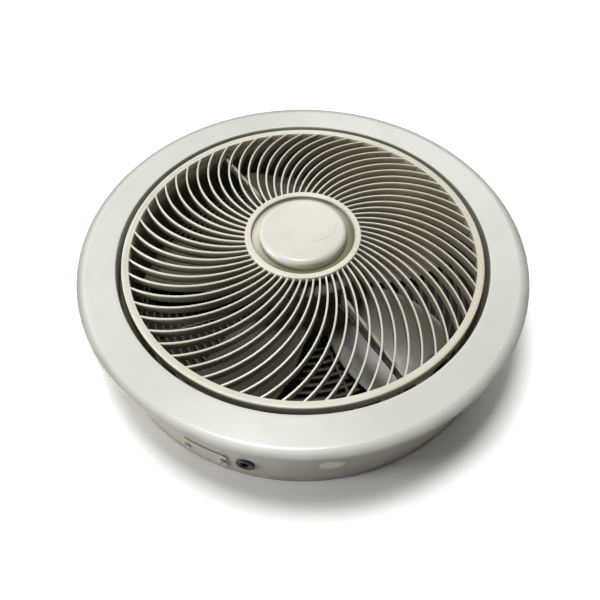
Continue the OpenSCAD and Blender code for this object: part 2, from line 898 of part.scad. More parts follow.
module crossbar() {
    color(cream) difference() {
        union() {
            rotate_extrude() polygon(concat(
                [[spindle_r + bush_wall, housing_top], [spindle_r + bush_wall, deck_in_z],
                 [housing_r - housing_wall, deck_in_z], [housing_r - housing_wall, housing_bottom],
                 [housing_r, housing_bottom]],
                arc(housing_r - housing_round, housing_top - housing_round, housing_round, housing_round,
                    0, 90, 5)
            ));
            around(2, arm_az) {
                rotate([90, 0, 0]) linear_extrude(arm_w, center = true) arm_side();
                translate([post_at, 0, arm_z]) cylinder(r = pad_r, h = pad_t);
            }
        }
        around(2, arm_az) translate([post_at, 0, arm_z - cut])
            cylinder(r = post_pilot_r + seat_gap, h = pad_t + 2 * cut, $fn = hole_fn);
        around(2, arm_az + 90) translate([ear_at, 0, deck_in_z - cut])
            cylinder(r = ear_screw_r + fit_gap, h = housing_wall + 2 * cut, $fn = hole_fn);
        polar(arm_az, housing_r - 2 * housing_wall, lead_high_z) translate([0, -lead_beside, 0])
            rotate([0, 90, 0]) cylinder(r = lead_r + seat_gap, h = 3 * housing_wall, $fn = wire_fn);
    }
}

module crossbar_screws() {
    color("silver") around(2, arm_az) translate([post_at, 0, arm_z + pad_t])
        screw(head_r, head_h, post_pilot_r, pad_t + post_l - 2 * tip_gap);
}

module gearmotor() {
    foot_z = housing_bottom + drive_cover_t;
    color([0.70, 0.70, 0.68]) difference() {
        union() {
            translate([0, 0, foot_z]) cylinder(r = gearmotor_d / 2, h = plate_z - foot_z);
            tube(spindle_r + bush_wall, spindle_r + run_gap, plate_z, plate_z + plate_t / 2);
        }
        translate([0, 0, plate_z - blind_depth]) cylinder(r = spindle_r + run_gap, h = blind_depth + cut);
    }
}

module gearmotor_plate() {
    color(pale_grey) difference() {
        translate([0, 0, plate_z]) linear_extrude(plate_t) {
            circle(r = gearmotor_d / 2);
            rotate(arm_az + 90) {
                square([2 * ear_at, 2 * ear_r], center = true);
                for (side = [-1, 1]) translate([side * ear_at, 0]) circle(r = ear_r);
            }
        }
        translate([0, 0, plate_z - cut])
            cylinder(r = spindle_r + bush_wall + seat_gap, h = plate_t + 2 * cut);
        around(2, arm_az + 90) translate([ear_at, 0, plate_z - cut])
            cylinder(r = ear_screw_r, h = plate_t + 2 * cut, $fn = hole_fn);
    }
}

module gearmotor_screws() {
    color("silver") around(2, arm_az + 90) translate([ear_at, 0, housing_top])
        screw(head_r, head_h, ear_screw_r, housing_wall + plate_t + tip_gap);
}

module drive_cover() {
    color(cream) translate([0, 0, housing_bottom])
        cylinder(r = housing_r - housing_wall - fit_gap, h = drive_cover_t);
}

module spindle_bush() {
    foot_z = plate_z + plate_t / 2 + fit_gap;
    flange_top = housing_top + bush_flange_t;
    color("peru") {
        tube(spindle_r + bush_wall - fit_gap / 2, spindle_r + run_gap, foot_z, housing_top);
        tube(spindle_r + bush_wall + bush_flange, spindle_r + run_gap, housing_top, flange_top);
    }
}

module gearmotor_lead() {
    drop_z = deck_z + block_h / 2;
    drop_turn = asin(block_w / 2 / lead_turn_r) + lead_block_turn;
    run_end = sqrt(pow(lead_turn_r, 2) - pow(lead_aside, 2));
    start = arm_az - asin(lead_aside / lead_turn_r);
    end = cover_az + drop_turn;
    drop = [lead_turn_r * cos(drop_turn), lead_turn_r * sin(drop_turn)];
    color(near_black) {
        polar(arm_az, 0, 0) wire_path([
            [gearmotor_d / 2 + fit_gap, -lead_beside, lead_high_z],
            [post_at - pad_r - lead_leaves_arm, -lead_beside, lead_high_z],
            [post_at - pad_r - lead_meets_post, -lead_aside, lead_low_z],
            [run_end, -lead_aside, lead_low_z]
        ], lead_wire_r);
        rotate([0, 0, end]) rotate_extrude(angle = start - end)
            translate([lead_turn_r, lead_low_z]) circle(r = lead_wire_r, $fn = wire_fn);
        polar(cover_az, 0, 0) wire_path([
            [block_at + block_d / 2, block_w / 2, drop_z],
            [drop[0], drop[1], drop_z],
            [drop[0], drop[1], lead_low_z]
        ], lead_wire_r);
    }
}

// Turning grille

module rib_2d() {
    intersection() {
        translate([rib_arc_offset, 0]) difference() {
            circle(r = rib_arc_r + rib_w / 2, $fn = rib_fn);
            circle(r = rib_arc_r - rib_w / 2, $fn = rib_fn);
        }
        translate([-cut, 0]) square([grille_r, grille_r]);
    }
}

module ribs_2d() {
    intersection() {
        for (i = [0 : rib_count - 1]) rotate(arc_phase + i * 360 / rib_count) rib_2d();
        difference() {
            circle(r = rib_out_r + rib_root);
            circle(r = hub_r - rib_root);
        }
    }
}

module dome_shell() {
    rotate_extrude() intersection() {
        difference() {
            translate([0, dome_apex - dome_r]) circle(r = dome_r, $fn = dome_fn);
            translate([0, dome_apex - rib_h - dome_r]) circle(r = dome_r, $fn = dome_fn);
        }
        translate([hub_r - 2 * rib_root, 0]) square([rib_out_r - hub_r + 4 * rib_root, 2 * body_h]);
    }
}

module hub_profile() {
    polygon(concat(
        [[thread_r + run_gap, hub_skirt_z], [hub_r - hub_chamfer, hub_skirt_z],
         [hub_r, hub_skirt_z + hub_chamfer]],
        [[hub_r, hub_top - hub_edge], [hub_r - hub_edge, hub_top]],
        [[dish_r + hub_edge, hub_top], [dish_r, hub_top - hub_edge]],
        arc(dish_r - dish_round, dish_z + dish_round, dish_round, dish_round, 0, -90, 5),
        [[grille_boss_r, dish_z], [grille_boss_r, dish_z + grille_boss_h],
         [thread_r + run_gap, dish_z + grille_boss_h]]
    ));
}

module ring_profile() {
    ring_low = body_h - ring_h;
    polygon([
        [rib_out_r, ring_low], [grille_r - ring_chamfer, ring_low], [grille_r, ring_low + ring_chamfer],
        [grille_r, body_h - ring_edge], [grille_r - ring_edge, body_h], [rib_out_r + ring_w / 2, body_h],
        [rib_out_r + ring_w / 2 - ring_step, body_h - ring_step], [rib_out_r, body_h - ring_step]
    ]);
}

module louvre_grille() {
    color(cream) {
        intersection() {
            linear_extrude(2 * body_h) ribs_2d();
            dome_shell();
        }
        rotate_extrude() ring_profile();
        rotate_extrude() hub_profile();
    }
}

module centre_cap() {
    snap_in_r = grille_boss_r + cap_snap_gap;
    snap_out_r = snap_in_r + cap_snap_wall;
    round_z = cap_top - cap_round - cap_crown;
    color(off_white) rotate_extrude() polygon(concat(
        [[0, cap_top], [0, cap_top - cap_wall], [snap_in_r, cap_top - cap_wall],
         [snap_in_r, dish_z + seat_gap], [snap_out_r, dish_z + seat_gap],
         [snap_out_r, cap_top - cap_wall - cap_crown / 2]],
        arc(cap_r - cap_round - cap_wall, round_z, cap_round, cap_round - cap_wall, 90, 0, 4),
        [[cap_r - cap_wall, dish_z], [cap_r, dish_z]],
        arc(cap_r - cap_round, round_z, cap_round, cap_round, 0, 90, 5)
    ));
}

module grille_spindle() {
    bottom = plate_z - blind_depth + spindle_end_gap;
    top = dish_z + grille_boss_h + spindle_nut_h + seat_gap;
    color("silver") {
        translate([0, 0, bottom]) cylinder(r = spindle_r, h = hub_skirt_z - bottom);
        translate([0, 0, hub_skirt_z - cut]) cylinder(r = thread_r, h = top - hub_skirt_z + cut);
    }
}

module spindle_nut() {
    color("silver") translate([0, 0, dish_z + grille_boss_h]) difference() {
        cylinder(r = spindle_nut_r, h = spindle_nut_h, $fn = 6);
        translate([0, 0, -cut]) cylinder(r = thread_r + run_gap, h = spindle_nut_h + 2 * cut, $fn = wire_fn);
    }
}

bezel();
casing();
shroud();
rear_guard();
bezel_screws();
drum_screws();
guard_screws();
terminal_cover();
cover_screws();
terminal_block();
terminal_screws();
cable_grommet();
run_capacitor();
capacitor_clip();
capacitor_lead();
rating_label();
motor_rear_bell();
motor_front_bell();
stator_core();
stator_winding();
motor_bearings();
motor_bolts();
motor_nuts();
motor_lead();
crossbar();
crossbar_screws();
gearmotor();
gearmotor_plate();
gearmotor_screws();
drive_cover();
spindle_bush();
gearmotor_lead();
impeller();
motor_shaft();
rotor();
impeller_washer();
impeller_nut();
louvre_grille();
centre_cap();
grille_spindle();
spindle_nut();
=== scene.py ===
"""Looks of a round lift-car ceiling fan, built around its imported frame.

The frame gives the solids. This script replaces the main mouldings with finely rounded
ones, gives every node a procedural finish, and sets the stage, the light and the camera.
"""

import logging
import math
from dataclasses import dataclass, field
from enum import Enum
from typing import Any, Callable, ClassVar, NamedTuple, Optional, Sequence, Union

import bmesh
import bpy
from mathutils import Matrix, Vector

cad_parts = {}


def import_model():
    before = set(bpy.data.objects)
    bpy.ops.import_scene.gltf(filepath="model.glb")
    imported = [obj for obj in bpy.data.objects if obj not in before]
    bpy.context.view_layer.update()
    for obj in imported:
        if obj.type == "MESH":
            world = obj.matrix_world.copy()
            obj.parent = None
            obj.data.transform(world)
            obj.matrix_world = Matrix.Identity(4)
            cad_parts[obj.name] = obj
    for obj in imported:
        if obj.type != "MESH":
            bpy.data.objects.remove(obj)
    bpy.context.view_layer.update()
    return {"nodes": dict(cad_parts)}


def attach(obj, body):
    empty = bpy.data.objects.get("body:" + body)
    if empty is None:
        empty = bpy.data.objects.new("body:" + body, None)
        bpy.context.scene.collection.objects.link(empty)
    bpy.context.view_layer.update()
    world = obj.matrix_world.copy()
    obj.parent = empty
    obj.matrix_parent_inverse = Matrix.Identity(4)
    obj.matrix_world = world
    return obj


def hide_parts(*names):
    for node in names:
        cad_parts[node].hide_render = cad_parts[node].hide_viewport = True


LOG = logging.getLogger("lift_fan")
MM = 0.001
TAU = 2 * math.pi
ON_AXIS = 1e-7
ROUND_STEPS = 4
CREASE = math.radians(32.0)
PLASTIC_IOR = 1.49

Pair = tuple[float, float]
Triple = tuple[float, float, float]
Colour = Triple
Verts = list[bmesh.types.BMVert]


class Body(Enum):
    """Rigid bodies of the frame that a piece can ride on."""

    HOUSING = "housing"
    IMPELLER = "impeller_set"
    GRILLE = "grille_set"


class Pattern(Enum):
    """Ways in which a metal finish is marked."""

    PLATED = "plated"
    TURNED = "turned"
    STACKED = "stacked"


# Shader arithmetic


def operation(kind: str, turned: bool = False) -> Callable[..., "Wire"]:
    """Makes an operator that adds one Math node.

    Args:
        kind: The node's operation.
        turned: Whether the operands change places.

    Returns:
        The operator.
    """

    def act(wire: "Wire", other: "Feed" = 0.0) -> "Wire":
        """Adds the node."""
        operands = (other, wire) if turned else (wire, other)
        return wire.tree.node("ShaderNodeMath", dict(enumerate(operands)), operation=kind)

    return act


class Wire:
    """A shader socket that takes part in Python arithmetic."""

    __add__ = operation("ADD")
    __radd__ = operation("ADD", turned=True)
    __sub__ = operation("SUBTRACT")
    __rsub__ = operation("SUBTRACT", turned=True)
    __mul__ = operation("MULTIPLY")
    __rmul__ = operation("MULTIPLY", turned=True)
    __truediv__ = operation("DIVIDE")
    __pow__ = operation("POWER")
    least = operation("MINIMUM")
    most = operation("MAXIMUM")
    wave = operation("SINE")
    size = operation("ABSOLUTE")

    def __init__(self, tree: "Tree", socket: bpy.types.NodeSocket) -> None:
        """Keeps the socket and the tree that it belongs to."""
        self.tree = tree
        self.socket = socket

    def ramp(self, low: float, high: float) -> "Wire":
        """Maps low to 0 and high to 1 with a smooth step, also where low is the larger."""
        start, end = 0.0, 1.0
        if low > high:
            low, high, start, end = high, low, end, start
        return self.tree.node(
            "ShaderNodeMapRange", dict(enumerate((self, low, high, start, end))),
            interpolation_type="SMOOTHSTEP", clamp=True,
        )

    def within(self, span: Pair, soft: float) -> "Wire":
        """1 between the ends of a span and 0 outside, with edges that are soft."""
        low, high = span
        return self.ramp(low - soft, low + soft) * self.ramp(high + soft, high - soft)


Feed = Union[Wire, float]


class Tree:
    """The node tree of a material or a world."""

    def __init__(self, owner: bpy.types.ID) -> None:
        """Empties the owner's tree."""
        owner.use_nodes = True
        self.tree = owner.node_tree
        self.tree.nodes.clear()

    def node(self, kind: str, inputs: Optional[dict[Any, Any]] = None,
             output: Union[int, str] = 0, **settings: Any) -> Wire:
        """Adds one node.

        Args:
            kind: The node's type.
            inputs: Values or wires by the socket's name or number.
            output: The socket that is returned.
            settings: Attributes that are set first.

        Returns:
            The chosen output.
        """
        made = self.tree.nodes.new(kind)
        for key, value in settings.items():
            setattr(made, key, value)
        for key, value in (inputs or {}).items():
            self.feed(made.inputs[key], value)
        return Wire(self, made.outputs[output])

    def feed(self, socket: bpy.types.NodeSocket, value: Any) -> None:
        """Links a wire to a socket, or sets the socket's own value."""
        if isinstance(value, Wire):
            self.tree.links.new(value.socket, socket)
        elif isinstance(value, tuple) and socket.type == "RGBA":
            socket.default_value = (*value, 1.0)
        else:
            socket.default_value = value

    def ray(self, kind: str) -> Wire:
        """1 for rays of a kind and 0 for all others."""
        return self.node("ShaderNodeLightPath", output=f"Is {kind} Ray")

    def close(self, kind: str, surface: Wire) -> None:
        """Ends the tree in an output node."""
        self.feed(self.tree.nodes.new(kind).inputs["Surface"], surface)


class Recipe(Tree):
    """One node material with a Principled shader."""

    def __init__(self, name: str) -> None:
        """Starts the material and its shader."""
        self.material = bpy.data.materials.new(name)
        super().__init__(self.material)
        self.shader = self.tree.nodes.new("ShaderNodeBsdfPrincipled")
        self.close("ShaderNodeOutputMaterial", Wire(self, self.shader.outputs["BSDF"]))
        self.place = self.node("ShaderNodeTexCoord", output="Object")

    def split(self) -> tuple[Wire, Wire, Wire]:
        """The three object coordinates in metres."""
        parts = self.tree.nodes.new("ShaderNodeSeparateXYZ")
        self.feed(parts.inputs[0], self.place)
        return tuple(Wire(self, output) for output in parts.outputs)

    def radius(self) -> Wire:
        """The distance from the fan's axis in metres."""
        x, y, _ = self.split()
        return (x * x + y * y) ** 0.5

    def noise(self, scale: float, detail: float = 3.0, roughness: float = 0.55,
              stretch: Optional[Triple] = None) -> Wire:
        """Fractal noise on object coordinates.

        Args:
            scale: Cells in a metre.
            detail: Octaves.
            roughness: Weight of the finer octaves.
            stretch: Extra scale along each axis.

        Returns:
            The noise, about 0.5 in the middle.
        """
        place = self.place
        if stretch is not None:
            inputs = {0: place, 1: stretch}
            place = self.node("ShaderNodeVectorMath", inputs, operation="MULTIPLY")
        inputs = {"Vector": place, "Scale": scale, "Detail": detail, "Roughness": roughness}
        return self.node("ShaderNodeTexNoise", inputs, noise_dimensions="3D")

    def specks(self, scale: float, low: float, high: float) -> Wire:
        """Small round spots, 1 inside and 0 outside."""
        inputs = {"Vector": self.place, "Scale": scale, "Randomness": 1.0}
        return self.node("ShaderNodeTexVoronoi", inputs, "Distance", feature="F1").ramp(high, low)

    def blend(self, first: Any, second: Any, factor: Feed) -> Wire:
        """Mixes two colours by a factor."""
        made = self.tree.nodes.new("ShaderNodeMix")
        made.data_type = "RGBA"
        colours = [s for s in made.inputs if s.type == "RGBA"]
        for socket, value in zip((made.inputs[0], *colours), (factor, first, second)):
            self.feed(socket, value)
        return Wire(self, next(s for s in made.outputs if s.type == "RGBA"))

    def bump(self, height: Wire, strength: float, distance: float) -> None:
        """Raises the surface by a height."""
        inputs = {"Height": height, "Strength": strength, "Distance": distance}
        self.put(Normal=self.node("ShaderNodeBump", inputs))

    def put(self, **values: Any) -> None:
        """Feeds the shader's sockets, named with underscores for spaces."""
        for key, value in values.items():
            self.feed(self.shader.inputs[key.replace("_", " ")], value)


# Finishes


@dataclass(frozen=True)
class Zone:
    """A ring shaped region whose colour is laid over a finish: painted shade in most zones, a tint
    in one. Sizes are in metres.

    Attributes:
        colour: The colour that is laid there, mostly painted shade.
        share: How much of it covers the surface.
        span: The radii between which it lies.
        top_z: Its upper limit.
        soft: The width of its edges.
        side: The direction in plan in which it lies thickest, or zeros for all round.
        reach: The distances along it where it is thinnest and thickest.
        thin: The share that is left where it is thinnest.
    """

    colour: Colour
    share: float
    span: Pair = (-1.0, 1.0)
    top_z: float = 1.0
    soft: float = 0.0005
    side: Pair = (0.0, 0.0)
    reach: Pair = (-0.035, 0.035)
    thin: float = 0.1

    def mask(self, r: Recipe) -> Wire:
        """How much of the zone's colour shows at a point."""
        x, y, z = r.split()
        around = r.radius().within(self.span, self.soft)
        around = around * z.ramp(self.top_z + self.soft, self.top_z - self.soft) * self.share
        if self.side == (0.0, 0.0):
            return around
        along = (x * self.side[0] + y * self.side[1]).ramp(*self.reach)
        return around * (along * (1.0 - self.thin) + self.thin)


@dataclass(frozen=True)
class Finish:
    """What some of the frame's nodes wear.

    Attributes:
        name: The material's name.
        nodes: The nodes that wear it, with spaces between them.
        colour: Its colour.
        shade: The colour that it drifts, stains or blooms to.
    """

    name: str
    nodes: str
    colour: Colour
    shade: Colour

    def make(self) -> bpy.types.Material:
        """Builds the material."""
        raise NotImplementedError


@dataclass(frozen=True)
class Moulded(Finish):
    """An injection moulded plastic with faint flow marks, fine grain and settled dust.

    Attributes:
        dust: The colour of dust and handling marks.
        dust_share: How much of it shows.
        roughness: The mean roughness.
        grain: The height of the moulded grain in metres.
        gloss: The weight of the clear skin on top.
        zones: Regions whose colour is laid over the plastic, mostly painted shade.
    """

    dust: Colour
    dust_share: float = 0.25
    roughness: float = 0.38
    grain: float = 0.00004
    gloss: float = 0.15
    zones: tuple[Zone, ...] = ()

    def lay_shade(self, r: Recipe, base: Wire) -> Wire:
        """Lays the colour of every zone, mostly painted shade, over a colour."""
        for zone in self.zones:
            base = r.blend(base, zone.colour, zone.mask(r))
        return base

    def dulled(self, r: Recipe, soil: Wire) -> Wire:
        """Adds the mask of every zone to the share of the surface that dust has dulled."""
        for zone in self.zones:
            soil = soil.most(zone.mask(r))
        return soil

    def skin(self, r: Recipe, colour: Wire, roughness: Wire, soil: Wire, coat: float) -> None:
        """Feeds the plastic's shader.

        Args:
            r: The material.
            colour: The plastic's colour.
            roughness: What is added to the mean roughness.
            soil: How much of the clear skin is covered.
            coat: The roughness of the clear skin.
        """
        r.put(Base_Color=colour, Roughness=roughness + self.roughness,
              Coat_Weight=(1.0 - soil) * self.gloss, Coat_Roughness=coat, IOR=PLASTIC_IOR)

    def make(self) -> bpy.types.Material:
        """Builds the material."""
        r = Recipe(self.name)
        drift, cloud, fine = r.noise(9.0, 2.0), r.noise(46.0, 4.0), r.noise(900.0, 2.0)
        flow = r.noise(20.0, 3.0, 0.5, (1.0, 1.0, 5.0))
        spots = r.specks(240.0, 0.05, 0.11) * cloud.ramp(0.52, 0.62)
        base = r.blend(self.colour, self.shade, drift.ramp(0.34, 0.68))
        base = r.blend(base, self.shade, flow.ramp(0.45, 0.75) * 0.35)
        soil = cloud.ramp(0.44, 0.78) * self.dust_share + spots * 0.35 * self.dust_share
        soil = soil.least(1.0)
        dull = self.dulled(r, soil)
        rough = (cloud - 0.5) * 0.16 + (fine - 0.5) * 0.08 + dull * 0.3
        self.skin(r, self.lay_shade(r, r.blend(base, self.dust, soil)), rough, dull, 0.22)
        r.bump(fine * 0.6 + cloud * 0.9, 0.55, self.grain)
        return r.material


@dataclass(frozen=True)
class FaceMoulded(Moulded):
    """The trim ring's plastic, with painted shade along its rounded rim.

    Attributes:
        rim_shade: The colour of the painted shade on the rounded rim.
        rim: The radii between which the painted shade grows, in metres.
    """

    rim_shade: Colour = (0.24, 0.238, 0.21)
    rim: Pair = (0.1903, 0.1981)

    def make(self) -> bpy.types.Material:
        """Builds the material."""
        r = Recipe(self.name)
        drift, cloud, fine = r.noise(6.0, 2.0), r.noise(38.0, 4.0), r.noise(1100.0, 2.0)
        streak = r.noise(28.0, 5.0, 0.6, (1.0, 1.0, 3.0))
        marks = r.specks(95.0, 0.03, 0.055) * cloud.ramp(0.5, 0.6)
        # Painted shade on the rim's rounding, streaked by noise; the rim is also rougher there.
        rim_shading = r.radius().ramp(*self.rim) * (streak.ramp(0.42, 0.7) * 0.2 + 0.8)
        base = r.blend(self.colour, self.shade, drift.ramp(0.34, 0.66))
        base = r.blend(base, self.rim_shade, rim_shading * 0.86)
        soil = (cloud.ramp(0.48, 0.8) * self.dust_share + marks * 0.3).least(1.0)
        rough = (cloud - 0.5) * 0.14 + (streak - 0.5) * 0.08 + soil * 0.18 + rim_shading * 0.12
        self.skin(r, self.lay_shade(r, r.blend(base, self.dust, soil)), rough, soil, 0.16)
        r.bump(fine * 0.5 + cloud, 0.5, self.grain)
        return r.material


@dataclass(frozen=True)
class SwirlMoulded(Moulded):
    """The grille's plastic: clean along the louvres' tops, with painted shade and dust down their
    sides, paler towards +X and the far side as painted light.

    Attributes:
        left_side_shade: The colour of the louvres' sides towards -X: painted shade and dust.
        right_side_shade: The paler colour of the sides towards +X and the far side: painted shade,
            painted light and dust.
        dome_r: The radius of the dome that the louvres' tops lie on, in metres.
        dome_apex: The dome's highest point, in metres.
        louvres: The radii between which there are louvres, in metres.
        depths: The depths where the painted shade and dust start and where they are full, in
            metres.
    """

    left_side_shade: Colour = (0.15, 0.142, 0.092)
    right_side_shade: Colour = (0.56, 0.52, 0.395)
    dome_r: float = 0.752
    dome_apex: float = 0.0931
    louvres: Pair = (0.0513, 0.1536)
    depths: Pair = (0.0005, 0.0019)

    def lay_shade(self, r: Recipe, base: Wire) -> Wire:
        """Paints shade and dust down the louvres' sides, paler towards +X and the far side, and
        lays every zone over them.
        """
        x, y, z = r.split()
        radius = r.radius()
        drop = self.dome_r - (self.dome_r ** 2 - radius * radius) ** 0.5
        depth = self.dome_apex - drop - z
        # Painted light: the sides grow paler towards the rim, towards +X and towards the far side.
        outward = radius.ramp(0.055, 0.11) * 0.55 + 0.45
        right = x.ramp(-0.07, 0.07) * (y.ramp(-0.12, -0.04) * 0.6 + 0.4)
        pale = right.most(y.ramp(-0.01, 0.08) * 0.6) * outward
        deep = r.blend(self.left_side_shade, self.right_side_shade, pale)
        louvre = radius.within(self.louvres, 0.0004)
        # Painted shade with dust, growing with the depth below the louvres' tops.
        base = r.blend(base, deep, depth.ramp(*self.depths) * louvre * 0.92)
        return super().lay_shade(r, base)


@dataclass(frozen=True)
class CapMoulded(Moulded):
    """The centre cap's plastic, with a faint worn arc on its face.

    Attributes:
        arc_centre: The arc's centre in plan, in metres.
        arc_r: The arc's radius, in metres.
        foot: The heights between which the cap darkens towards its foot, in metres.
    """

    arc_centre: Pair = (0.006, 0.009)
    arc_r: float = 0.024
    foot: Pair = (0.0925, 0.0885)

    def make(self) -> bpy.types.Material:
        """Builds the material."""
        r = Recipe(self.name)
        x, y, z = r.split()
        dx, dy = x - self.arc_centre[0], y - self.arc_centre[1]
        away = ((dx * dx + dy * dy) ** 0.5 - self.arc_r).size()
        drift, cloud, fine = r.noise(14.0, 2.0), r.noise(60.0, 4.0), r.noise(1200.0, 2.0)
        arc = away.ramp(0.0007, 0.0) * (x - y).ramp(0.012, 0.026) * cloud.ramp(0.3, 0.6)
        base = r.blend(self.colour, self.shade, drift.ramp(0.36, 0.66))
        soil = cloud.ramp(0.5, 0.8) * self.dust_share + arc * 0.4 + z.ramp(*self.foot) * 0.35
        soil = soil.least(1.0)
        rough = (cloud - 0.5) * 0.14 + soil * 0.2
        self.skin(r, r.blend(base, self.dust, soil), rough, soil, 0.16)
        r.bump(fine * 0.5 + cloud * 0.8 - arc * 0.6, 0.5, self.grain)
        return r.material


@dataclass(frozen=True)
class Powdered(Finish):
    """Powder coated sheet steel with orange peel, scuffs and a grimy foot.

    Attributes:
        grime: The colour of grime and scuffs.
        foot_z: The height below which grime gathers, in metres.
        roughness: The mean roughness.
        peel: The height of the orange peel, in metres.
    """

    grime: Colour
    foot_z: float = 0.012
    roughness: float = 0.42
    peel: float = 0.00005

    def make(self) -> bpy.types.Material:
        """Builds the material."""
        r = Recipe(self.name)
        _, _, z = r.split()
        drift, cloud, peel = r.noise(7.0, 3.0), r.noise(34.0, 4.0), r.noise(520.0, 2.0, 0.4)
        scuff = r.noise(60.0, 6.0, 0.7, (1.0, 1.0, 7.0)).ramp(0.63, 0.70)
        foot = z.ramp(self.foot_z, 0.0) * cloud.ramp(0.3, 0.6)
        soil = (cloud.ramp(0.5, 0.85) * 0.22 + foot * 0.45 + scuff * 0.3).least(1.0)
        base = r.blend(self.colour, self.shade, drift.ramp(0.34, 0.68))
        r.put(Base_Color=r.blend(base, self.grime, soil), Coat_Weight=0.12, Coat_Roughness=0.25,
              Roughness=(peel - 0.5) * 0.12 + soil * 0.22 + self.roughness)
        r.bump(peel + cloud * 0.5 - scuff * 0.25, 0.6, self.peel)
        return r.material


@dataclass(frozen=True)
class Metal(Finish):
    """A bare or plated metal.

    Attributes:
        pattern: How it is marked.
        roughness: The mean roughness.
        pitch: The distance from mark to mark, in metres.
    """

    pattern: Pattern = Pattern.PLATED
    roughness: float = 0.34
    pitch: float = 0.0007

    def marks(self, r: Recipe) -> Wire:
        """The pattern's height, from 0 to 1."""
        if self.pattern is Pattern.PLATED:
            return r.noise(700.0, 4.0, 0.6)
        along = r.split()[2] if self.pattern is Pattern.STACKED else r.radius()
        return (along * (TAU / self.pitch)).wave() * 0.5 + 0.5

    def make(self) -> bpy.types.Material:
        """Builds the material."""
        r = Recipe(self.name)
        cloud = r.noise(120.0, 4.0)
        marks = self.marks(r)
        stain = (cloud.ramp(0.46, 0.74) * 0.55 + (1.0 - marks) * 0.15).least(1.0)
        r.put(Base_Color=r.blend(self.colour, self.shade, stain), Metallic=1.0,
              Roughness=(cloud - 0.5) * 0.22 + marks * 0.06 + self.roughness)
        r.bump(marks * 0.7 + cloud * 0.5, 0.5, 0.00005)
        return r.material


@dataclass(frozen=True)
class Sheath(Finish):
    """A soft black rubber or cable sheath with a bloom.

    Attributes:
        roughness: The mean roughness.
    """

    roughness: float = 0.6

    def make(self) -> bpy.types.Material:
        """Builds the material."""
        r = Recipe(self.name)
        cloud, fine = r.noise(160.0, 4.0), r.noise(1500.0, 2.0)
        r.put(Base_Color=r.blend(self.colour, self.shade, cloud.ramp(0.45, 0.75) * 0.6),
              Roughness=(cloud - 0.5) * 0.2 + self.roughness)
        r.bump(fine + cloud * 0.5, 0.5, 0.00004)
        return r.material


@dataclass(frozen=True)
class LabelFilm(Finish):
    """A bare oval film with a thin printed border in its second colour.

    Attributes:
        turn: The direction of the label's middle, in degrees.
        middle_z: The height of its middle, in metres.
        half_w: Half of its width, in metres.
        half_h: Half of its height, in metres.
    """

    turn: float = -83.0
    middle_z: float = 0.030
    half_w: float = 0.010
    half_h: float = 0.0065

    def make(self) -> bpy.types.Material:
        """Builds the material."""
        r = Recipe(self.name)
        x, y, z = r.split()
        turn = math.radians(self.turn)
        across = (y * math.cos(turn) - x * math.sin(turn)) / self.half_w
        up = (z - self.middle_z) / self.half_h
        line = ((across * across + up * up) ** 0.5 - 0.84).size().ramp(0.05, 0.02)
        cloud = r.noise(300.0, 4.0)
        ink = (line * 0.55 + cloud.ramp(0.5, 0.8) * 0.12).least(1.0)
        r.put(Base_Color=r.blend(self.colour, self.shade, ink), Coat_Weight=0.3,
              Coat_Roughness=0.2, Roughness=(cloud - 0.5) * 0.2 + 0.36)
        r.bump(cloud, 0.4, 0.00003)
        return r.material


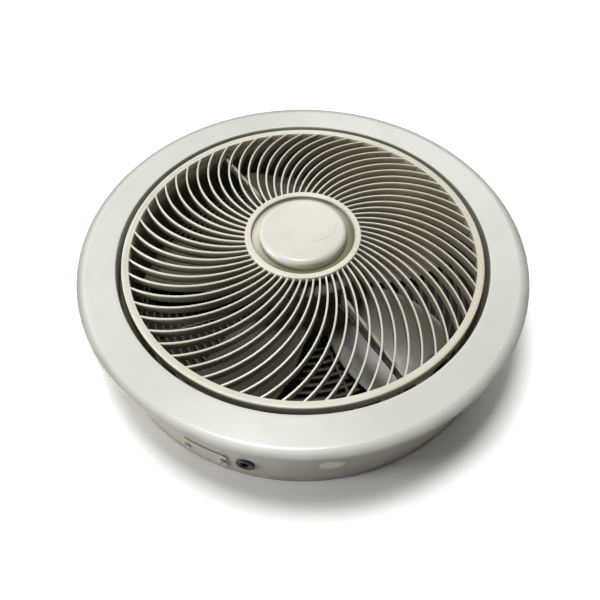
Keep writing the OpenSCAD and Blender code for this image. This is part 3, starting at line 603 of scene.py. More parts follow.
WARM_DUST = (0.30, 0.27, 0.20)
FINISHES: tuple[Finish, ...] = (
    FaceMoulded(
        "trim_plastic", "bezel", (0.745, 0.755, 0.695), (0.70, 0.71, 0.65), WARM_DUST,
        dust_share=0.10, roughness=0.34, gloss=0.25,
        # Painted shade in the groove on the collar wall, thin towards -X and -Y.
        zones=(Zone((0.17, 0.16, 0.11), 0.46, (-1.0, 0.1656), 0.0766,
                    side=(0.8, 0.6), reach=(-0.15, 0.02)),)),
    CapMoulded(
        "cap_moulding", "centre_cap", (0.76, 0.755, 0.68), (0.72, 0.71, 0.635), WARM_DUST,
        dust_share=0.12, roughness=0.33, gloss=0.3),
    SwirlMoulded(
        "swirl_plastic", "louvre_grille", (0.82, 0.80, 0.70), (0.77, 0.745, 0.64),
        (0.30, 0.27, 0.18), dust_share=0.2, roughness=0.36, gloss=0.2,
        zones=(
            # Painted shade on the ring's outer wall, down in the groove.
            Zone((0.085, 0.080, 0.052), 0.75, (0.1597, 1.0), 0.0766),
            # Painted shade of the cap in the dish, thickest towards +X and -Y.
            Zone((0.19, 0.196, 0.102), 0.98, (-1.0, 0.0452), 0.0900,
                 side=(0.55, -0.83), reach=(-0.026, 0.026)),
            # Painted shadow of the hub ring's inner edge on the dish wall, thickest towards -X and
            # +Y.
            Zone((0.10, 0.096, 0.056), 0.85, (0.0449, 0.0462), 0.0919,
                 side=(-0.6, 0.8), reach=(-0.03, 0.03)),
            # A darker, yellower tint on the ring, thickest towards +X.
            Zone((0.60, 0.565, 0.42), 0.6, (0.1536, 1.0), 0.0785,
                 side=(1.0, 0.0), reach=(0.0, 0.15)),
        )),
    Moulded(
        "drive_plastic", "crossbar", (0.50, 0.475, 0.40), (0.42, 0.395, 0.32),
        (0.17, 0.14, 0.09), dust_share=0.4, roughness=0.45,
        # Painted shade on the drive housing under the grille's hub.
        zones=(Zone((0.06, 0.054, 0.036), 0.9, (-1.0, 0.0645), soft=0.002),
               # Painted shade on the arms' outer ends and pads.
               Zone((0.05, 0.046, 0.032), 0.88, (0.1495, 1.0), soft=0.003))),
    Moulded(
        "blade_moulding", "impeller", (0.19, 0.182, 0.148), (0.145, 0.135, 0.105),
        (0.07, 0.062, 0.042), dust_share=0.4, roughness=0.34, gloss=0.2,
        # Painted shade on the blades' tips, low in the drum.
        zones=(Zone((0.045, 0.041, 0.029), 0.85, (0.1385, 1.0), 0.030, soft=0.002),
               # Painted shade on the blades on the near side, towards -Y.
               Zone((0.040, 0.036, 0.024), 0.75, side=(-0.35, -0.94), reach=(0.055, 0.105)))),
    Moulded(
        "throat_plastic", "shroud", (0.13, 0.12, 0.085), (0.10, 0.09, 0.06),
        (0.05, 0.042, 0.026), dust_share=0.4, roughness=0.5),
    # Painted shade: the guard's near-black colour stands in for the shade inside the drum.
    Moulded(
        "guard_moulding", "rear_guard drive_cover", (0.060, 0.055, 0.041),
        (0.048, 0.043, 0.031), (0.028, 0.024, 0.016), dust_share=0.35, roughness=0.5),
    Moulded(
        "terminal_moulding", "terminal_block", (0.66, 0.63, 0.52), (0.60, 0.57, 0.46),
        (0.30, 0.26, 0.18)),
    Moulded(
        "black_moulding", "run_capacitor", (0.030, 0.030, 0.032), (0.045, 0.045, 0.045),
        (0.12, 0.11, 0.09), dust_share=0.4, roughness=0.48),
    Powdered(
        "drum_coat", "casing terminal_cover", (0.44, 0.432, 0.37), (0.385, 0.377, 0.315),
        (0.14, 0.122, 0.085)),
    Metal(
        "zinc_plate",
        "bezel_screws drum_screws guard_screws cover_screws capacitor_clip motor_bolts "
        "motor_nuts gearmotor_screws gearmotor_plate impeller_washer impeller_nut "
        "spindle_nut gearmotor", (0.62, 0.62, 0.59), (0.36, 0.35, 0.31)),
    # Painted shade: the crossbar's screws are darkened as they sit in shade under the grille.
    Metal(
        "shade_darkened_zinc", "crossbar_screws", (0.16, 0.152, 0.13), (0.08, 0.074, 0.06),
        roughness=0.55),
    Metal(
        "ground_steel", "motor_bearings motor_shaft grille_spindle", (0.66, 0.66, 0.66),
        (0.42, 0.41, 0.39), Pattern.TURNED, 0.26, 0.0009),
    Metal(
        "cast_alloy", "motor_rear_bell motor_front_bell rotor", (0.55, 0.56, 0.57),
        (0.38, 0.38, 0.37), roughness=0.5),
    Metal(
        "stacked_steel", "stator_core", (0.30, 0.30, 0.31), (0.16, 0.15, 0.14),
        Pattern.STACKED, 0.45, 0.0011),
    Metal(
        "wound_copper", "stator_winding", (0.62, 0.27, 0.10), (0.34, 0.13, 0.05),
        Pattern.TURNED, 0.36, 0.0012),
    Metal(
        "dull_brass", "terminal_screws", (0.66, 0.50, 0.24), (0.40, 0.29, 0.13),
        Pattern.TURNED, 0.38),
    Metal(
        "porous_bronze", "spindle_bush", (0.48, 0.32, 0.16), (0.26, 0.17, 0.09),
        roughness=0.5),
    Sheath(
        "grommet_moulding", "cable_grommet", (0.022, 0.022, 0.022), (0.06, 0.058, 0.054)),
    Sheath(
        "lead_sheath", "capacitor_lead motor_lead gearmotor_lead", (0.028, 0.028, 0.030),
        (0.06, 0.06, 0.058), 0.5),
    LabelFilm("label_sheet", "rating_label", (0.72, 0.72, 0.67), (0.30, 0.30, 0.27)),
)


@dataclass
class Finishes:
    """Every finish of the fan, made once and kept under the nodes that wear it."""

    made: dict[str, bpy.types.Material] = field(default_factory=dict)

    def make_all(self) -> None:
        """Makes the finishes."""
        for finish in FINISHES:
            self.made.update(dict.fromkeys(finish.nodes.split(), finish.make()))

    def dress(self, nodes: dict[str, bpy.types.Object]) -> None:
        """Gives every node of the frame its finish."""
        for name, material in self.made.items():
            for place in nodes[name].material_slots:
                place.material = material
        LOG.info("dressed %d nodes", len(self.made))


# Shapes


class Corner(NamedTuple):
    """One corner of a section, in millimetres.

    Attributes:
        r: Distance from the axis.
        z: Height.
        round: Radius of the rounding there.
    """

    r: float
    z: float
    round: float = 0.0


Row = tuple[float, ...]


def curve(centre: Pair, half: Pair, start: float, end: float, steps: int) -> list[Row]:
    """Corners along a part of an ellipse in the section.

    Args:
        centre: The centre's distance from the axis and its height.
        half: The half axes along r and z.
        start: First angle in degrees.
        end: Last angle in degrees.
        steps: Number of steps.

    Returns:
        The corners, in order.
    """
    turns = [math.radians(start + (end - start) * i / steps) for i in range(steps + 1)]
    return [(centre[0] + half[0] * math.cos(t), centre[1] + half[1] * math.sin(t)) for t in turns]


class Form:
    """A mesh of turned, swept and bevelled shapes.

    Each method that adds a shape returns its vertices.
    """

    def __init__(self) -> None:
        """Starts an empty mesh."""
        self.bm = bmesh.new()

    def since(self, before: set[bmesh.types.BMVert]) -> Verts:
        """The vertices that are newer than a set of earlier ones."""
        return [v for v in self.bm.verts if v not in before]

    def section(self, rows: Sequence[Row], closed: bool) -> Verts:
        """Draws a section in the XZ plane and rounds its corners.

        Args:
            rows: Each corner's distance from the axis, its height and perhaps its rounding.
            closed: Whether the last corner joins the first.
        """
        bm = self.bm
        before = set(bm.verts)
        corners = [Corner(*row) for row in rows]
        verts = [bm.verts.new((c.r * MM, 0.0, c.z * MM)) for c in corners]
        pairs = list(zip(verts, verts[1:]))
        if closed:
            pairs.append((verts[-1], verts[0]))
        for pair in pairs:
            bm.edges.new(pair)
        for vert, corner in zip(verts, corners):
            if corner.round > 0:
                self.bevel([vert], corner.round, ROUND_STEPS, "VERTICES")
        return self.since(before)

    def bevel(self, parts: Sequence[Any], round: float, segments: int, affect: str) -> None:
        """Rounds vertices or edges by a distance in millimetres."""
        bmesh.ops.bevel(
            self.bm, geom=parts, offset=round * MM, offset_type="OFFSET", segments=segments,
            profile=0.5, affect=affect, material=-1, clamp_overlap=True,
        )

    def turned(self, rows: Sequence[Row], steps: int, closed: bool = True) -> Verts:
        """Spins a section about the axis.

        Args:
            rows: The section's corners.
            steps: Number of steps in the full turn.
            closed: Whether the section is a closed outline.
        """
        ring = Form()
        verts = ring.section(rows, closed)
        edges = list({e for v in verts for e in v.link_edges})
        bmesh.ops.spin(
            ring.bm, geom=verts + edges, cent=(0, 0, 0), axis=(0, 0, 1), dvec=(0, 0, 0), angle=TAU,
            steps=steps, use_merge=True, use_duplicate=False,
        )
        on_axis = [v for v in ring.bm.verts if math.hypot(v.co.x, v.co.y) < ON_AXIS]
        if on_axis:
            bmesh.ops.remove_doubles(ring.bm, verts=on_axis, dist=ON_AXIS)
        ring.outward(ring.bm.verts)
        before = set(self.bm.verts)
        mesh = ring.to_mesh("hand_over")
        self.bm.from_mesh(mesh)
        bpy.data.meshes.remove(mesh)
        return self.since(before)

    def to_mesh(self, name: str) -> bpy.types.Mesh:
        """Moves the shape to a mesh and ends the form."""
        mesh = bpy.data.meshes.new(name)
        self.bm.to_mesh(mesh)
        self.bm.free()
        return mesh

    def outward(self, verts: Sequence[bmesh.types.BMVert]) -> None:
        """Points the faces of these vertices outwards."""
        faces = list({f for v in verts for f in v.link_faces})
        bmesh.ops.recalc_face_normals(self.bm, faces=faces)

    def block(self, size: Triple, centre: Triple, round: float, segments: int = 2) -> Verts:
        """Adds a block with rounded edges.

        Args:
            size: Length, width and height in millimetres.
            centre: Its middle in millimetres.
            round: Rounding of its edges in millimetres.
            segments: Steps in the rounding.
        """
        scale = Matrix.Diagonal((*(s * MM for s in size), 1.0))
        before = set(self.bm.verts)
        place = Matrix.Translation(Vector(centre) * MM) @ scale
        made = bmesh.ops.create_cube(self.bm, size=1.0, matrix=place)["verts"]
        self.soften(made, round, segments)
        return self.since(before)

    def soften(self, verts: Verts, round: float, segments: int = 2, angle: float = 30.0) -> None:
        """Bevels the sharp edges of these vertices.

        Args:
            verts: The vertices.
            round: Rounding in millimetres.
            segments: Steps in the rounding.
            angle: Edges that turn by less are left, in degrees.
        """
        edges = {e for v in verts for e in v.link_edges if len(e.link_faces) == 2}
        sharp = [e for e in edges if e.calc_face_angle(0.0) > math.radians(angle)]
        self.bevel(sharp, round, segments, "EDGES")

    def post(self, radius: float, ends: Pair, at: float, round: float, sides: int) -> Verts:
        """Adds an upright round post with rounded ends.

        Args:
            radius: Its radius in millimetres.
            ends: The heights of its lower and upper end.
            at: Its distance from the axis.
            round: Rounding of its ends.
            sides: Number of sides.
        """
        low, high = ends
        before = set(self.bm.verts)
        made = bmesh.ops.create_cone(
            self.bm, cap_ends=True, cap_tris=False, segments=sides, radius1=radius * MM,
            radius2=radius * MM, depth=(high - low) * MM,
            matrix=Matrix.Translation(Vector((at, 0.0, (low + high) / 2)) * MM),
        )["verts"]
        self.soften(made, round, angle=50.0)
        return self.since(before)

    def repeat(self, verts: Verts, count: int, start: float = 0.0) -> None:
        """Repeats a shape evenly around the axis.

        Args:
            verts: The shape's vertices.
            count: Number of copies in all.
            start: Turn of the first one in degrees.
        """
        def rotate(moved: Verts, turn: float) -> None:
            """Turns vertices about the axis."""
            matrix = Matrix.Rotation(turn, 3, "Z")
            bmesh.ops.rotate(self.bm, cent=(0, 0, 0), matrix=matrix, verts=moved)

        rotate(verts, math.radians(start))
        faces = list({f for v in verts for f in v.link_faces})
        for i in range(1, count):
            copy = bmesh.ops.duplicate(self.bm, geom=faces)["geom"]
            rotate([g for g in copy if isinstance(g, bmesh.types.BMVert)], TAU * i / count)

    def finish(self, name: str, finishes: Finishes, body: Body, slot: str, *nodes: str) -> None:
        """Makes the object, dresses it and ties it to the frame.

        Args:
            name: The piece's name.
            finishes: The finishes, of which it wears its first node's.
            body: The body that it rides on.
            slot: Not used.
            nodes: The frame's nodes that it stands for.
        """
        mesh = self.to_mesh(name)
        mesh.shade_smooth()
        mesh.set_sharp_from_angle(angle=CREASE)
        mesh.materials.append(finishes.made[nodes[0]])
        piece = bpy.data.objects.new(name, mesh)
        bpy.context.scene.collection.objects.link(piece)
        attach(piece, body.value)
        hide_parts(*nodes)
        LOG.info("%s: %d faces, rides on %s", name, len(mesh.polygons), body.value)


# Sub-assemblies, with their sizes in millimetres and their angles in degrees


class Assembly:
    """A part of the fan that is made anew.

    Attributes:
        piece: Its name, its body, its material slot and the node that it stands for.
    """

    piece: ClassVar[tuple[str, Body, str, str]]

    def shape(self, form: Form) -> None:
        """Adds the part's shapes to a form."""
        raise NotImplementedError

    def build(self, finishes: Finishes) -> None:
        """Makes the part."""
        name, body, slot, node = self.piece
        form = Form()
        self.shape(form)
        form.finish(name, finishes, body, slot, node)


@dataclass
class TrimRing(Assembly):
    """The wide ring around the grille, with its collar, screw bosses and ribs."""

    piece = ("trim_ring", Body.HOUSING, "bezel_plastic", "bezel")

    outer_r: float = 198.44
    mouth_r: float = 165.0
    face_z: float = 78.0
    face_fall: float = 0.8
    rim_z: float = 71.0
    collar_low: float = 61.0
    wall: float = 3.0
    collar_w: float = 2.5
    edge_w: float = 8.0
    nose_w: float = 2.3
    nose_h: float = 1.7
    nose_z: float = 73.9
    tuck: float = 3.0
    rim_w: float = 2.0
    boss_at: float = 174.0
    boss_r: float = 4.0
    boss_drop: float = 2.6
    boss_turn: float = 30.0
    bosses: int = 6
    rib: Triple = (4.5, 1.6, 12.0)
    rib_in: float = 4.6
    steps: int = 288

    def section(self) -> list[Row]:
        """The ring's section, from the collar's foot over the face to the rim."""
        edge_r, edge_z = self.outer_r - self.edge_w, self.face_z - self.face_fall
        rim_r, collar_r = self.outer_r - self.tuck, self.mouth_r + self.collar_w
        nose = (self.nose_w, self.nose_h)
        return [
            (self.mouth_r, self.collar_low, 0.5),
            (self.mouth_r, self.face_z, 0.9),
            (self.mouth_r + 3.0, self.face_z - 0.1),
            (edge_r - 2.0, edge_z + 0.06),
            (edge_r, edge_z, 0.9),
            (edge_r + 1.6, edge_z - 0.40),
            (edge_r + 3.6, edge_z - 0.92),
            *curve((self.outer_r - self.nose_w, self.nose_z), nose, 66, 0, 10),
            (rim_r, self.rim_z, 0.3),
            (rim_r - self.rim_w, self.rim_z, 0.3),
            (rim_r - self.rim_w, edge_z - self.wall, 1.0),
            (collar_r, self.face_z - self.wall, 1.2),
            (collar_r, self.collar_low, 0.5),
        ]

    def shape(self, form: Form) -> None:
        """Adds the ring."""
        form.turned(self.section(), self.steps)
        ends = (self.collar_low + 0.05, self.face_z - self.boss_drop)
        boss = form.post(self.boss_r, ends, self.boss_at, 0.3, 28)
        form.repeat(boss, self.bosses, self.boss_turn)
        middle_z = self.collar_low + self.rib[2] / 2 + 0.2
        rib = form.block(self.rib, (self.boss_at - self.rib_in, 0.0, middle_z), 0.3)
        form.repeat(rib, self.bosses, self.boss_turn)


@dataclass
class SwirlGrille(Assembly):
    """The turning grille: outer ring, swept louvres, hub and dish in one moulding."""

    piece = ("swirl_grille", Body.GRILLE, "grille_plastic", "louvre_grille")

    ring_out: float = 160.0
    ring_in: float = 153.8
    face_z: float = 78.0
    ring_h: float = 10.4
    ring_step: float = 0.5
    ribs: int = 60
    rib_w: float = 1.7
    rib_h: float = 8.0
    rib_foot_w: float = 1.3
    arc_r: float = 100.5
    arc_offset: float = 102.0
    arc_phase: float = 2.2
    rib_steps: int = 20
    dome_r: float = 752.0
    dome_apex: float = 93.1
    hub_r: float = 51.0
    hub_top: float = 92.7
    dish_r: float = 45.6
    dish_z: float = 86.5
    dish_round: float = 4.2
    skirt_z: float = 84.5
    skirt_w: float = 3.2
    boss_r: float = 7.5
    boss_h: float = 5.5
    thread_r: float = 3.05

    def dome(self, r: float) -> float:
        """The height of the louvres' tops at a distance from the axis."""
        return self.dome_apex - self.dome_r + math.sqrt(self.dome_r ** 2 - r ** 2)

    def arc_turn(self, r: float) -> float:
        """The angle on a louvre's arc where it reaches a distance from the axis."""
        offset, arc = self.arc_offset, self.arc_r
        return math.acos((r ** 2 - offset ** 2 - arc ** 2) / (2 * offset * arc))

    def rib(self, form: Form) -> Verts:
        """Makes one louvre, swept along its arc and laid on the dome."""
        bm = form.bm
        start, end = self.arc_turn(self.hub_r - 0.7), self.arc_turn(self.ring_in + 0.8)
        top, foot = self.rib_w / 2, self.rib_foot_w / 2
        side = [(foot, -self.rib_h), (top, -0.9), (top * 0.86, -0.32), (top * 0.5, -0.03)]
        rim = [(-across, up) for across, up in side] + side[::-1]
        centre = Vector((self.arc_offset, 0.0, 0.0)) * MM
        out = Vector((math.cos(start), math.sin(start), 0.0))
        verts = [bm.verts.new(centre + out * (self.arc_r + across) * MM + Vector((0, 0, up * MM)))
                 for across, up in rim]
        edges = [bm.edges.new(pair) for pair in zip(verts, verts[1:] + verts[:1])]
        before = set(bm.verts) - set(verts)
        bmesh.ops.spin(
            bm, geom=verts + edges, cent=centre, axis=(0, 0, 1), dvec=(0, 0, 0), angle=end - start,
            steps=self.rib_steps, use_merge=False, use_duplicate=False,
        )
        made = form.since(before)
        open_edges = {e for v in made for e in v.link_edges if len(e.link_faces) == 1}
        bmesh.ops.holes_fill(bm, edges=list(open_edges), sides=len(rim))
        for vert in made:
            vert.co.z += self.dome(vert.co.to_2d().length / MM) * MM
        form.outward(made)
        return made

    def ring(self) -> list[Row]:
        """The outer ring's section, with a step in its face."""
        low, middle = self.face_z - self.ring_h, (self.ring_in + self.ring_out) / 2
        step_z = self.face_z - self.ring_step
        return [
            (self.ring_in, low, 0.4), (self.ring_out, low, 1.0),
            (self.ring_out, self.face_z, 0.9), (middle, self.face_z, 0.35),
            (middle - self.ring_step, step_z, 0.2), (self.ring_in, step_z, 0.6),
        ]

    def hub(self) -> list[Row]:
        """The hub's section, with its dish and the boss that takes the spindle."""
        bend, boss_z = self.dish_round, self.dish_z + self.boss_h
        return [
            (self.thread_r, self.skirt_z), (self.hub_r - self.skirt_w, self.skirt_z, 0.8),
            (self.hub_r, self.skirt_z + 3.0, 1.2), (self.hub_r, self.hub_top, 0.8),
            (self.dish_r + 0.2, self.hub_top, 1.0), (self.dish_r, self.hub_top - 1.2, 0.6),
            *curve((self.dish_r - 0.2 - bend, self.dish_z + bend), (bend, bend), 0, -90, 10),
            (self.boss_r, self.dish_z, 0.6), (self.boss_r, boss_z, 0.5), (self.thread_r, boss_z),
        ]

    def shape(self, form: Form) -> None:
        """Adds the grille."""
        form.repeat(self.rib(form), self.ribs, self.arc_phase)
        form.turned(self.ring(), 288)
        form.turned(self.hub(), 224)


@dataclass
class HubCap(Assembly):
    """The round cap in the middle of the grille, with a collar that snaps on."""

    piece = ("hub_cap", Body.GRILLE, "cap_plastic", "centre_cap")

    radius: float = 38.2
    top: float = 98.0
    foot: float = 86.55
    wall: float = 2.2
    crown: float = 0.9
    crown_fall: tuple[Pair, ...] = ((0.0, 0.0), (10.0, 0.05), (20.0, 0.2), (28.0, 0.45))
    snap_in: float = 7.75
    snap_out: float = 9.75

    def shape(self, form: Form) -> None:
        """Adds the cap."""
        edge_z, snap_z = self.top - self.crown, self.foot + 0.4
        inner, under = self.radius - self.wall, self.top - 2.3
        form.turned([
            *((r, self.top - fall) for r, fall in self.crown_fall), (33.4, edge_z + 0.1),
            *curve((self.radius - 4.2, edge_z - 4.2), (4.0, 4.2), 80, 0, 12),
            (self.radius, self.foot, 0.4), (inner, self.foot, 0.4), (inner, edge_z - 4.4, 1.6),
            (self.snap_out, self.top - 3.1, 0.6), (self.snap_out, snap_z, 0.4),
            (self.snap_in, snap_z, 0.4), (self.snap_in, under, 0.4), (0.0, under),
        ], 192, closed=False)


@dataclass
class DriveHousing(Assembly):
    """The round housing of the grille's drive, with the two arms that carry it."""

    piece = ("drive_housing", Body.HOUSING, "grille_plastic", "crossbar")

    radius: float = 62.0
    top: float = 81.5
    low: float = 57.0
    wall: float = 2.5
    bore: float = 6.2
    step_h: float = 6.0
    shoulder: float = 3.0
    groove: float = 0.5
    arms: int = 2
    arm_turn: float = -58.0
    arm_w: float = 3.0
    arm_h: float = 8.0
    arm_rise: float = 7.0
    arm_z: float = 58.0
    pad_r: float = 5.5
    pad_at: float = 158.5
    pad_t: float = 3.0

    def shell(self) -> list[Row]:
        """The housing's section, with a groove in its top."""
        inner, under, bend = self.radius - self.wall, self.top - self.wall, self.shoulder
        return [
            (self.bore, self.top, 0.3), (self.bore, under, 0.3), (inner, under, 1.0),
            (inner, self.low, 0.4), (self.radius, self.low, 0.5),
            (self.radius, self.top - self.step_h, 0.4), (self.radius - 0.5, self.top - 5.4, 0.3),
            *curve((self.radius - 0.5 - bend, self.top - bend), (bend, bend), 0, 90, 8),
            (self.radius - 9.0, self.top, 0.3), (self.radius - 9.6, self.top - self.groove, 0.3),
            (self.radius - 12.0, self.top - self.groove, 0.3), (self.radius - 12.6, self.top, 0.3),
        ]

    def arm(self, form: Form) -> Verts:
        """Makes one arm, which rises towards the housing and ends in a round pad."""
        root = self.radius - self.wall / 2
        reach = self.pad_at - self.pad_r + 1.0 - root
        middle_z = self.arm_z + self.arm_h / 2
        bar = form.block((reach, self.arm_w, self.arm_h), (root + reach / 2, 0.0, middle_z), 0.6, 3)
        for vert in (v for v in bar if v.co.z > middle_z * MM):
            vert.co.z += self.arm_rise * MM * (1 - (vert.co.x - root * MM) / (reach * MM))
        ends = (self.arm_z + 0.02, self.arm_z + self.pad_t)
        return bar + form.post(self.pad_r, ends, self.pad_at, 0.5, 40)

    def shape(self, form: Form) -> None:
        """Adds the housing and its arms."""
        form.turned(self.shell(), 160)
        form.repeat(self.arm(form), self.arms, self.arm_turn)


@dataclass
class FanWheel(Assembly):
    """The impeller: a cup shaped hub with pitched, curved blades."""

    piece = ("fan_wheel", Body.IMPELLER, "blade_plastic", "impeller")

    tip_r: float = 150.0
    tip_gap: float = 0.3
    tip_round: float = 7.0
    cup_r: float = 60.0
    cup_low: float = 13.0
    cup_top: float = 43.0
    cup_round: float = 4.0
    wall: float = 2.5
    boss_r: float = 9.0
    boss_low: float = 37.9
    bore: float = 4.05
    blades: int = 5
    blade_turn: float = 30.0
    thickness: float = 2.2
    pitch: float = 21.0
    camber_r: float = 150.0
    middle_z: float = 23.0
    lead: Pair = (-26.0, -46.0)
    trail: Pair = (27.0, 34.0)
    bow: float = 7.0
    along: int = 22
    across: int = 16

    def edge(self, ends: Pair, share: float, bow: float) -> float:
        """How far an edge of the blade lies to the side, at a share of its length."""
        return ends[0] + (ends[1] - ends[0]) * share + bow * math.sin(math.pi * share)

    def dip(self, v: float) -> float:
        """How far the cambered surface dips at a distance from its middle."""
        return self.camber_r - math.sqrt(self.camber_r ** 2 - v ** 2)

    def lift(self, side: float) -> float:
        """The height of the blade's middle surface at a distance to the side."""
        turn = math.radians(self.pitch)
        c, s = math.cos(turn), math.sin(turn)
        v = side
        for _ in range(8):
            v = (side + self.dip(v) * s) / c
        return self.middle_z + v * s + self.dip(v) * c

    def place(self, share: float, across: float) -> Vector:
        """Where a point of the blade lies, by its shares of the length and the width."""
        root = self.cup_r - self.wall * 0.6
        low = self.edge(self.lead, share, -self.bow)
        high = self.edge(self.trail, share, self.bow)
        side = low + (high - low) * across
        rounding = self.tip_round * (abs(2 * across - 1) ** 8) * (share ** 6)
        tip = math.sqrt((self.tip_r - self.tip_gap - rounding) ** 2 - side ** 2)
        start = math.sqrt(root ** 2 - side ** 2)
        return Vector((start + (tip - start) * share, side, self.lift(side))) * MM

    def blade(self, form: Form) -> Verts:
        """Makes one blade from a grid that is bent, cut to its outline and thickened."""
        bm = form.bm
        before = set(bm.verts)
        bmesh.ops.create_grid(bm, x_segments=self.along, y_segments=self.across, size=0.5)
        made = form.since(before)
        for vert in made:
            vert.co = self.place(vert.co.x + 0.5, vert.co.y + 0.5)
        faces = [f for f in bm.faces if all(v not in before for v in f.verts)]
        bmesh.ops.recalc_face_normals(bm, faces=faces)
        bmesh.ops.translate(bm, verts=made, vec=(0, 0, -self.thickness / 2 * MM))
        if sum(f.normal.z for f in faces) > 0:
            bmesh.ops.reverse_faces(bm, faces=faces)
        bmesh.ops.solidify(bm, geom=faces, thickness=self.thickness * MM)
        made = form.since(before)
        form.outward(made)
        form.soften(made, 0.55, angle=60.0)
        return form.since(before)

    def hub(self) -> list[Row]:
        """The hub's section, with a shallow groove in its top."""
        inner, under, bend = self.cup_r - self.wall, self.cup_top - self.wall, self.cup_round
        groove_z = self.cup_top - 0.6
        return [
            (self.bore, self.boss_low), (self.boss_r, self.boss_low, 0.5),
            (self.boss_r, under, 0.8), (inner, under, 1.6), (inner, self.cup_low, 0.5),
            (self.cup_r, self.cup_low, 0.6), (self.cup_r, self.cup_top - bend),
            *curve((self.cup_r - bend, self.cup_top - bend), (bend, bend), 6, 90, 8),
            (26.0, self.cup_top, 0.4), (25.4, groove_z, 0.4), (14.0, groove_z, 0.4),
            (13.4, self.cup_top, 0.4), (self.bore, self.cup_top),
        ]

    def shape(self, form: Form) -> None:
        """Adds the wheel."""
        form.repeat(self.blade(form), self.blades, self.blade_turn)
        form.turned(self.hub(), 160)


@dataclass
class BackGuard(Assembly):
    """The flat guard behind the impeller, with its deck, rings and spokes."""

    piece = ("back_guard", Body.HOUSING, "guard_plastic", "rear_guard")

    low: float = 3.5
    high: float = 6.0
    deck_r: float = 61.0
    deck_grooves: tuple[Pair, ...] = ((34.0, 37.0), (50.0, 53.0))
    pitch: float = 7.0
    bar_w: float = 2.6
    rings: int = 13
    spokes: int = 8
    spoke_turn: float = -115.0
    spoke_w: float = 3.0
    zone_r: float = 154.0
    outer_r: float = 182.2
    foot_w: float = 12.2
    foot_z: float = 1.5

    def deck(self) -> list[Row]:
        """The deck's section, with a hollow and two grooves in its underside."""
        grooves = [row for start, end in self.deck_grooves for row in (
            (start, self.low, 0.3), (start + 0.7, self.low + 0.6, 0.3),
            (end - 0.7, self.low + 0.6, 0.3), (end, self.low, 0.3))]
        return [
            (0.0, self.low + 0.7), (20.0, self.low + 0.7, 0.3), (21.0, self.low, 0.3), *grooves,
            (self.deck_r, self.low, 0.7), (self.deck_r, self.high, 0.4), (0.0, self.high),
        ]

    def rim(self) -> list[Row]:
        """The outer rim's section, with a groove and a foot."""
        foot_r = self.outer_r - self.foot_w
        return [
            (self.zone_r, self.low, 0.7), (165.8, self.low, 0.3), (166.6, self.low + 0.7, 0.3),
            (168.4, self.low + 0.7, 0.3), (foot_r, self.low, 0.3), (foot_r, self.foot_z, 0.4),
            (self.outer_r, self.foot_z, 0.5), (self.outer_r, self.high, 0.6),
            (self.zone_r, self.high, 0.4),
        ]

    def shape(self, form: Form) -> None:
        """Adds the guard."""
        for r in (self.deck_r + i * self.pitch for i in range(1, self.rings + 1)):
            inner = r - self.bar_w
            form.turned([(inner, self.low, 0.7), (r, self.low, 0.7),
                         (r, self.high, 0.3), (inner, self.high, 0.3)], 176)
        reach = self.zone_r - self.deck_r + 2.0
        middle = (self.deck_r - 1.0 + reach / 2, 0.0, (self.low + self.high) / 2)
        spoke = form.block((reach, self.spoke_w, self.high - self.low - 0.1), middle, 0.6)
        form.repeat(spoke, self.spokes, self.spoke_turn)
        form.turned(self.deck(), 160, closed=False)
        form.turned(self.rim(), 224)


@dataclass
class Grommet(Assembly):
    """The cable grommet in the drum's wall, with a lip inside and outside."""

    piece = ("inlet_grommet", Body.HOUSING, "grommet_rubber", "cable_grommet")

    drum_r: float = 184.0
    wall: float = 1.5
    turn: float = -104.0
    middle_z: float = 22.0
    neck_r: float = 5.9
    hole_r: float = 4.0
    rim_r: float = 8.0
    lip: float = 2.0

    def shape(self, form: Form) -> None:
        """Adds the grommet."""
        rim, inside = self.rim_r, -self.wall - self.lip
        verts = form.turned([
            (self.hole_r, inside, 0.6), (rim - 0.4, inside, 0.8), (rim, -self.wall - 0.3, 0.3),
            (self.neck_r, -self.wall - 0.3), (self.neck_r, 0.3), (rim, 0.3, 0.3),
            (rim - 0.4, self.lip, 0.9), (self.hole_r + 0.9, self.lip, 0.5),
            (self.hole_r, self.lip - 1.1, 0.5),
        ], 64)
        place = (
            Matrix.Rotation(math.radians(self.turn), 4, "Z")
            @ Matrix.Translation(Vector((self.drum_r, 0.0, self.middle_z)) * MM)
            @ Matrix.Rotation(math.radians(90.0), 4, "Y")
        )
        bmesh.ops.transform(form.bm, matrix=place, verts=verts)


# Stage


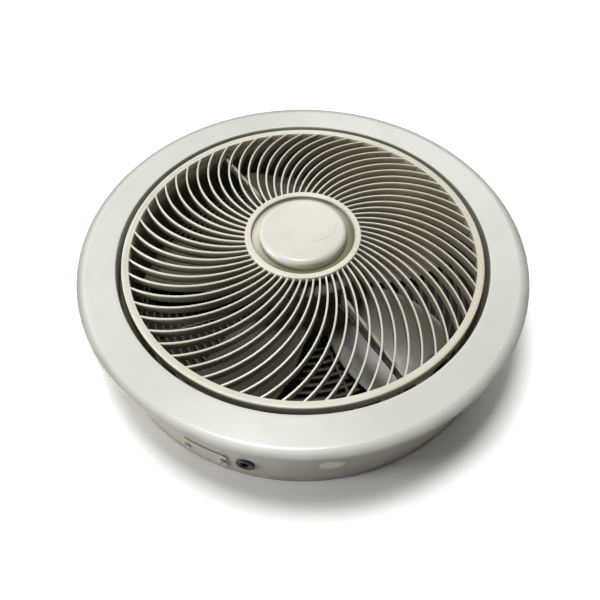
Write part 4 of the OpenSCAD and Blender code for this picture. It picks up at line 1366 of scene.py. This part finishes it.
@dataclass
class Studio:
    """The floor, the backdrop, the lamps and the camera. Places are in metres."""

    eye: Triple = (0.0, -0.3799, 0.5130)
    aim: Triple = (0.0, 0.0, 0.078)
    lens: float = 38.76
    sensor: float = 36.0
    shift: Pair = (-0.0048, -0.0942)
    floor_size: float = 12.0
    floor_colour: Colour = (0.80, 0.80, 0.80)
    floor_seen: Colour = (1.30, 1.30, 1.30)
    # Painted shade: the colour of a dark disc on the floor under the fan, and its radius.
    floor_shade_disc: Colour = (0.035, 0.032, 0.026)
    shade_disc_r: float = 0.183
    world_level: float = 0.095

    def hang(self, name: str, data: bpy.types.ID, place: Triple) -> bpy.types.Object:
        """Puts a camera or a lamp at a place and points it at the fan."""
        hung = bpy.data.objects.new(name, data)
        hung.location = place
        look = Vector(self.aim) - Vector(place)
        hung.rotation_euler = look.to_track_quat("-Z", "Y").to_euler()
        bpy.context.scene.collection.objects.link(hung)
        return hung

    def camera(self) -> None:
        """Sets the camera where the photograph was taken from."""
        data = bpy.data.cameras.new("camera")
        data.lens = self.lens
        data.sensor_width = self.sensor
        data.shift_x, data.shift_y = self.shift
        data.clip_start = 0.01
        bpy.context.scene.camera = self.hang("camera", data, self.eye)

    def lamp(self, name: str, place: Triple, side: float, power: float) -> None:
        """Adds a soft square lamp.

        Args:
            name: The lamp's name.
            place: Where it hangs.
            side: The length of its sides.
            power: Its power in watts.
        """
        data = bpy.data.lights.new(name, "AREA")
        data.shape = "RECTANGLE"
        data.size = data.size_y = side
        data.energy = power
        self.hang(name, data, place)

    def world(self) -> None:
        """Lights the scene softly, and shows a pale backdrop behind it."""
        world = bpy.data.worlds.new("studio")
        bpy.context.scene.world = world
        tree = Tree(world)
        light = {"Color": (1.0, 1.0, 0.99), "Strength": self.world_level}
        soft = tree.node("ShaderNodeBackground", light)
        bright = tree.node("ShaderNodeBackground", {"Strength": 1.0})
        seen = tree.ray("Camera").most(tree.ray("Transmission"))
        pick = tree.node("ShaderNodeMixShader", {"Fac": seen, 1: soft, 2: bright})
        tree.close("ShaderNodeOutputWorld", pick)

    def floor(self) -> None:
        """Lays the white floor, which keeps the fan's shadow, with painted shade as a dark disc
        under the fan.
        """
        form = Form()
        bmesh.ops.create_grid(form.bm, x_segments=2, y_segments=2, size=self.floor_size / 2)
        mesh = form.to_mesh("floor")
        r = Recipe("white_floor")
        seen = r.ray("Camera").most(r.ray("Glossy")).most(r.ray("Transmission"))
        bare = r.blend(self.floor_colour, self.floor_seen, seen)
        # Painted shade: a dark disc under the fan, where the drum's inside is shaded.
        covered = r.radius().ramp(self.shade_disc_r, self.shade_disc_r - 0.002)
        r.put(Base_Color=r.blend(bare, self.floor_shade_disc, covered), Roughness=0.9,
              Specular_IOR_Level=0.1)
        mesh.materials.append(r.material)
        floor = bpy.data.objects.new("floor", mesh)
        bpy.context.scene.collection.objects.link(floor)

    def build(self) -> None:
        """Sets the stage."""
        self.camera()
        self.world()
        self.floor()
        self.lamp("overhead", (-0.20, 0.11, 2.10), 0.60, 28.8)
        self.lamp("far_right", (0.6, 1.7, 1.3), 1.4, 13.0)
        self.lamp("low_left", (-1.45, -0.36, 0.30), 0.4, 15.5)
        bpy.context.scene.view_settings.view_transform = "Standard"


ASSEMBLIES: tuple[Assembly, ...] = (
    TrimRing(), SwirlGrille(), HubCap(), DriveHousing(), FanWheel(), BackGuard(), Grommet(),
)


def main() -> None:
    """Builds the fan's looks around its frame."""
    logging.basicConfig(level=logging.INFO, format="%(message)s")
    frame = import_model()
    finishes = Finishes()
    finishes.make_all()
    finishes.dress(frame["nodes"])
    for assembly in ASSEMBLIES:
        assembly.build(finishes)
    Studio().build()
    LOG.info("done")


if __name__ == "__main__":
    main()
